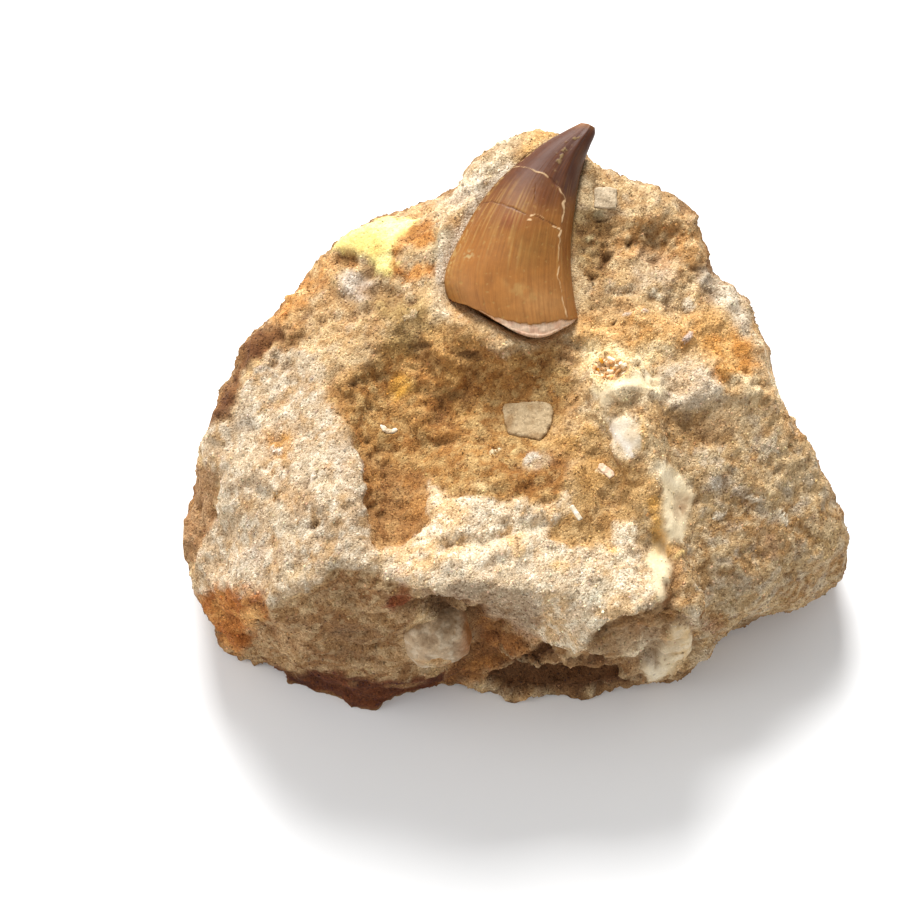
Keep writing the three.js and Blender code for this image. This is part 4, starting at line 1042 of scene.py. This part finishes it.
crown_lift = np.zeros(len(flat))
crown_lift += 0.022 * fine_lines * (0.4 + 0.6 * strong_lines) * (1 - dentine)
crown_lift += 0.05 * lumps(flat, 5, 61) - 0.10 * dark_crack + 0.05 * pale_crack - 0.03 * pitted
crown_lift += 0.08 * worn - 0.05 * scuff
crown_lift -= dentine * (0.28 + 0.22 * lumps(flat, 1.9, 62) + 0.08 * lumps(flat, 0.5, 63))
crown_lift -= 0.55 * facing * smooth(below_enamel, 0.2, 2.0)
crown_spots = (CROWN_BASE + flat[:, :1] * (1, 0, 0) + flat[:, 1:2] * rise_way
               + lift[:, None] * out_way)
faces = []
for row in range(len(t_rows) - 1):
    for column in range(COLUMNS):
        a, b = row * COLUMNS + column, row * COLUMNS + (column + 1) % COLUMNS
        faces.append((b, a, a + COLUMNS, b + COLUMNS))
top_ring = (len(t_rows) - 1) * COLUMNS
for a in range(COLUMNS):
    b = (a + 1) % COLUMNS
    faces.append((top_ring + b, top_ring + a, len(flat) - 2))
    faces.append((a, b, len(flat) - 1))
crown_mesh = bpy.data.meshes.new("mosasaur_crown")
crown_mesh.from_pydata([place(*s) for s in crown_spots], [], faces)
crown = piece_from("mosasaur_crown", crown_mesh)
_, ways = points_of(crown_mesh)
crown_spots += ways * crown_lift[:, None]
tooth_low, tooth_high = in_block(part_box("tooth"))
put_points(crown_mesh, np.clip(crown_spots, tooth_low - SPREAD, tooth_high + SPREAD))

stain_and_shading = np.tile(shade(184, 126, 68), (len(flat), 1))
outer_edge = smooth(-np.cos(angle), 0.86, 0.95) * smooth(np.sin(angle), 0.0, 0.2) * smooth(flat[:, 1], 3, 8)
edge_scuffs_and_sheen = smooth(lumps(crown_spots, 0.7, 69) + 0.5 * lumps(crown_spots, 0.3, 70), 0.0, 0.4)
for mask, colour in [
        (0.8 * smooth(-flat[:, 0], -2, 6) * smooth(-flat[:, 1], -16, -4), (192, 126, 60)),
        (0.7 * blob(flat, (2.6, 9.5), (3.8, 6.5), -8, 0.9), (176, 130, 76)),
        (0.75 * blob(flat, (4, 3.2), (4.5, 4.0), 0, 0.9), (196, 138, 92)),
        (0.6 * smooth(lumps(flat, 4, 64), -0.2, 0.5), (176, 114, 54)),
        (0.7 * blob(flat, (3.5, 0.8), (7.5, 5.0), 0, 0.9), (226, 172, 130)),
        (0.6 * smooth(-flat[:, 1], -10, -2), (206, 146, 90)),
        (0.5 * smooth(-flat[:, 0], 5.5, 9.5) * smooth(-flat[:, 1], -16, -6), (210, 156, 100)),
        (0.92 * smooth(flat[:, 1], 11, 23), (108, 60, 36)),
        (0.85 * blob(flat, (-0.4, 14.0), (3.0, 2.4), 10, 0.9), (158, 88, 36)),
        (0.6 * blob(flat, (4.2, 17.6), (1.6, 2.8), 0, 0.9), (140, 78, 30)),
        (0.5 * blob(flat, (4.4, 1.6), (4.5, 2.6), 0, 0.9), (228, 176, 132)),
        (0.5 * blob(flat, (5.6, 18.0), (3.4, 3.4), 0, 0.9), (102, 54, 26)),
        (0.5 * smooth(flat[:, 1], 19, 24), (98, 48, 20)),
        # Painted shade on the far facet, over its darker brown.
        (0.9 * shaded_far_facet, (94, 52, 34)),
        # Painted grey sheen along the far facet's right edge.
        (0.7 * shaded_far_facet * smooth(flat[:, 0], 8.7, 10.6) * smooth(-flat[:, 1], -27, -22), (140, 112, 104)),
        (0.8 * smooth(flat[:, 1], 28.2, 29.8), (188, 132, 88)),
        (0.40 * strong_lines * smooth(fine_lines, 0.1, 0.8), (218, 180, 126)),
        (0.30 * smooth(-fine_lines, 0.1, 0.8), (146, 88, 40)),
        (0.55 * pitted, (208, 172, 120)),
        (0.45 * blob(wandering, (0.9, 3.3), (4.2, 1.5), -28, 0.9)
         * smooth(lumps(flat, 1.1, 65), -0.3, 0.4),
         (220, 188, 140)),
        (0.5 * smooth(-flat[:, 0], 7.4, 10) * smooth(lumps(flat, 0.8, 66), -0.1, 0.4), (214, 168, 112)),
        # Pale scuffs along the outer edge, with a painted whitish sheen on them.
        (0.65 * outer_edge * edge_scuffs_and_sheen, (236, 208, 168)),
        (0.8 * scuff, (226, 206, 178)),
        (0.6 * worn, (206, 186, 160)),
        (0.9 * dark_crack, (110, 62, 34)),
        (0.85 * pale_crack, (232, 200, 160)),
        (dentine, (230, 198, 168)),
        (dentine * 0.7 * smooth(lumps(flat, 1.5, 67), -0.1, 0.4), (222, 176, 146)),
        (dentine * 0.7 * smooth(-flat[:, 0], 0.5, 4), (206, 150, 96)),
        (dentine * 0.8 * smooth(below_enamel, 1.7, 2.6), (196, 132, 92))]:
    tint(stain_and_shading, mask, colour)
stain_and_shading *= 1 - (1 - np.array([0.54, 0.47, 0.28])) * (1 - np.clip(dentine + 0.7 * pale_crack, 0, 1))[:, None]
paint(crown_mesh, "stain_and_shading", stain_and_shading)
paint(crown_mesh, "lines", lines)
dull = np.clip(dentine + pale_crack + worn + scuff + 0.5 * pitted, 0, 1)
paint(crown_mesh, "dull", np.repeat(dull[:, None], 3, axis=1))

enamel = bpy.data.materials.new("tooth_enamel")
enamel.use_nodes = True
tree = enamel.node_tree
shader = tree.nodes["Principled BSDF"]
shader.inputs["IOR"].default_value = 1.55
shader.inputs["Specular IOR Level"].default_value = 0.22
shader.inputs["Coat Weight"].default_value = 0.03
shader.inputs["Coat Roughness"].default_value = 0.3
painted = node_in(tree, "ShaderNodeAttribute", attribute_name="stain_and_shading")
dullness = node_in(tree, "ShaderNodeAttribute", attribute_name="dull")
grain_spots = node_in(tree, "ShaderNodeTexCoord").outputs["Object"]
cloud = node_in(tree, "ShaderNodeTexNoise", {"Vector": grain_spots, "Scale": 900.0, "Detail": 5.0})
cloudy = sum_of(tree, "MULTIPLY_ADD", cloud.outputs[0], 0.5, 0.75)
line_spots = node_in(tree, "ShaderNodeAttribute", attribute_name="lines").outputs["Vector"]
stretched = node_in(tree, "ShaderNodeMapping", {"Vector": line_spots, "Scale": (5.5, 0.35, 1.0)})
growth_lines = node_in(tree, "ShaderNodeTexNoise", {
    "Vector": stretched.outputs[0], "Scale": 1.0, "Detail": 3.0, "Roughness": 0.6}).outputs[0]
lined = sum_of(tree, "MULTIPLY_ADD", growth_lines, 0.9, 0.55)
enamel_colour = blend(tree, "MULTIPLY", 1.0, painted.outputs["Color"], cloudy)
tree.links.new(blend(tree, "MULTIPLY", 0.7, enamel_colour, lined), shader.inputs["Base Color"])
rough_where_dull = sum_of(tree, "MULTIPLY_ADD", dullness.outputs["Fac"], 0.35, 0.5)
tree.links.new(rough_where_dull, shader.inputs["Roughness"])
bump = node_in(tree, "ShaderNodeBump", {
    "Height": sum_of(tree, "ADD", cloud.outputs[0], growth_lines), "Strength": 0.35, "Distance": 0.06 * MM})
tree.links.new(bump.outputs[0], shader.inputs["Normal"])
crown_mesh.materials.append(enamel)
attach(crown, "root")
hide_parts("tooth")

# ---- Fragments set in the sandstone ----
# Small natural pieces that the sediment buried with the crown: a flat chip of bone, a splinter of
# bone, a white spine, a bit of shell and a clast of grey stone. Each is held by the stone round it.
FRAGMENTS = {  # size of the skin's faces, roughness, size of the lumps, pale and deep colour
    "bone_chip": (0.20, 0.16, 0.9, (180, 156, 120), (148, 116, 76)),
    "white_spine": (0.08, 0.03, 0.5, (232, 222, 202), (214, 196, 166)),
    "bone_splinter": (0.09, 0.06, 0.5, (226, 198, 168), (204, 168, 140)),
    "shell_fragment": (0.10, 0.06, 0.5, (236, 226, 206), (204, 176, 136)),
    "grey_clast": (0.14, 0.14, 0.8, (198, 178, 148), (160, 140, 112)),
}
for seed, (node, (voxel, rough, lump, pale, deep)) in enumerate(FRAGMENTS.items(), 71):
    fragment = stone_piece(f"{node}_piece", {node: 0.0}, voxel, 4)
    spots, ways = points_of(fragment.data)
    raised = rough * (lumps(spots, lump * 1.6, seed) + 0.6 * lumps(spots, lump * 0.6, seed + 10)) + 0.08
    put_points(fragment.data, spots + ways * raised[:, None])
    stain_and_shading = np.tile(shade(*pale), (len(spots), 1))
    tint(stain_and_shading, 0.8 * smooth(lumps(spots, lump * 2, seed + 20), -0.2, 0.5), deep)
    paint(fragment.data, "stain_and_shading", stain_and_shading)
    fragment.data.materials.append(
        stone_finish(node, roughness=0.7, grain=0.25, contrast=0.45, depth=0.05))
    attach(fragment, "root")
    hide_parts(node)

# ---- The nodule ----
# A knobbly nodule of cloudy calcite, stained orange on its right. It sits in its own niche in
# the front of the block, held by the stone behind it.
nodule = stone_piece("calcite_nodule", {"nodule": 0.0}, 0.16, 8)
spots, ways = points_of(nodule.data)
raised = (0.30 * lumps(spots, 2.6, 91) + 0.25 * (np.abs(lumps(spots, 2.2, 92)) - 0.5)
          + 0.08 * lumps(spots, 0.6, 93))
low, high = in_block(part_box("nodule"))
spots = spots + ways * (raised - 0.1)[:, None]
off = (spots - (low + high) / 2) / ((high - low) / 2)
squarer = (np.linalg.norm(off, axis=1) / (off ** 4).sum(1) ** 0.25) ** 0.6
spots = (low + high) / 2 + np.clip(off * squarer[:, None], -1, 1) * (high - low) / 2 * (1.0, 1.0, 1.08)
put_points(nodule.data, spots + (-0.3, 0.8, 1.2))
stain_and_shading = np.tile(shade(180, 154, 122), (len(spots), 1))
tint(stain_and_shading, 0.7 * smooth(lumps(spots, 2.4, 94), -0.1, 0.4), (148, 122, 92))
tint(stain_and_shading, 0.35 * smooth(lumps(spots, 1.4, 95), 0.0, 0.5), (216, 202, 176))
tint(stain_and_shading, 0.85 * blob(off[:, ::2], (0.9, 0.2), (0.5, 1.1), soft=0.8), (150, 96, 48))
tint(stain_and_shading, 0.6 * blob(off[:, ::2], (-0.25, -0.2), (0.4, 0.3), soft=0.8), (196, 152, 96))
paint(nodule.data, "stain_and_shading", stain_and_shading)
nodule.data.materials.append(
    stone_finish("nodule_calcite", roughness=0.5, grain=0.4, contrast=0.4, depth=0.05))
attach(nodule, "root")
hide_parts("nodule")

# ---- Floor and light ----
# A plain pale sheet under the specimen. A soft lamp from the far side and above gives the shadows,
# and a weaker one from the left and the plain sky fill them.
SHEET_CORNERS = [(-3, -3, 0), (3, -3, 0), (3, 3, 0), (-3, 3, 0)]
SKY_STRENGTH = 0.62
LIT_POINT = Vector((0, 0, 0.03))
stage_mesh = bpy.data.meshes.new("floor_sheet")
stage_mesh.from_pydata(SHEET_CORNERS, [], [(0, 1, 2, 3)])
sheet = piece_from("floor_sheet", stage_mesh)
sheet_finish = bpy.data.materials.new("floor_sheet")
sheet_finish.use_nodes = True
shader = sheet_finish.node_tree.nodes["Principled BSDF"]
shader.inputs["Base Color"].default_value = (0.9, 0.9, 0.9, 1)
shader.inputs["Roughness"].default_value = 0.9
sheet.data.materials.append(sheet_finish)

world = bpy.data.worlds.new("studio")
world.use_nodes = True
sky = world.node_tree.nodes["Background"]
sky.inputs["Color"].default_value = (1, 1, 1, 1)
sky.inputs["Strength"].default_value = SKY_STRENGTH
bpy.context.scene.world = world
for name, spot, size, power in [  # place and size in metres, power in watts
    ("window_light", (-0.1, 0.75, 0.72), 0.4, 17.0),
    ("left_fill", (-0.8, 0.0, 0.5), 0.6, 3.0),
]:
    lamp = bpy.data.lights.new(name, "AREA")
    lamp.size = size
    lamp.energy = power
    light = bpy.data.objects.new(name, lamp)
    light.location = spot
    light.rotation_euler = (LIT_POINT - Vector(spot)).to_track_quat("-Z", "Y").to_euler()
    bpy.context.scene.collection.objects.link(light)
bpy.context.scene.view_settings.view_transform = "Standard"
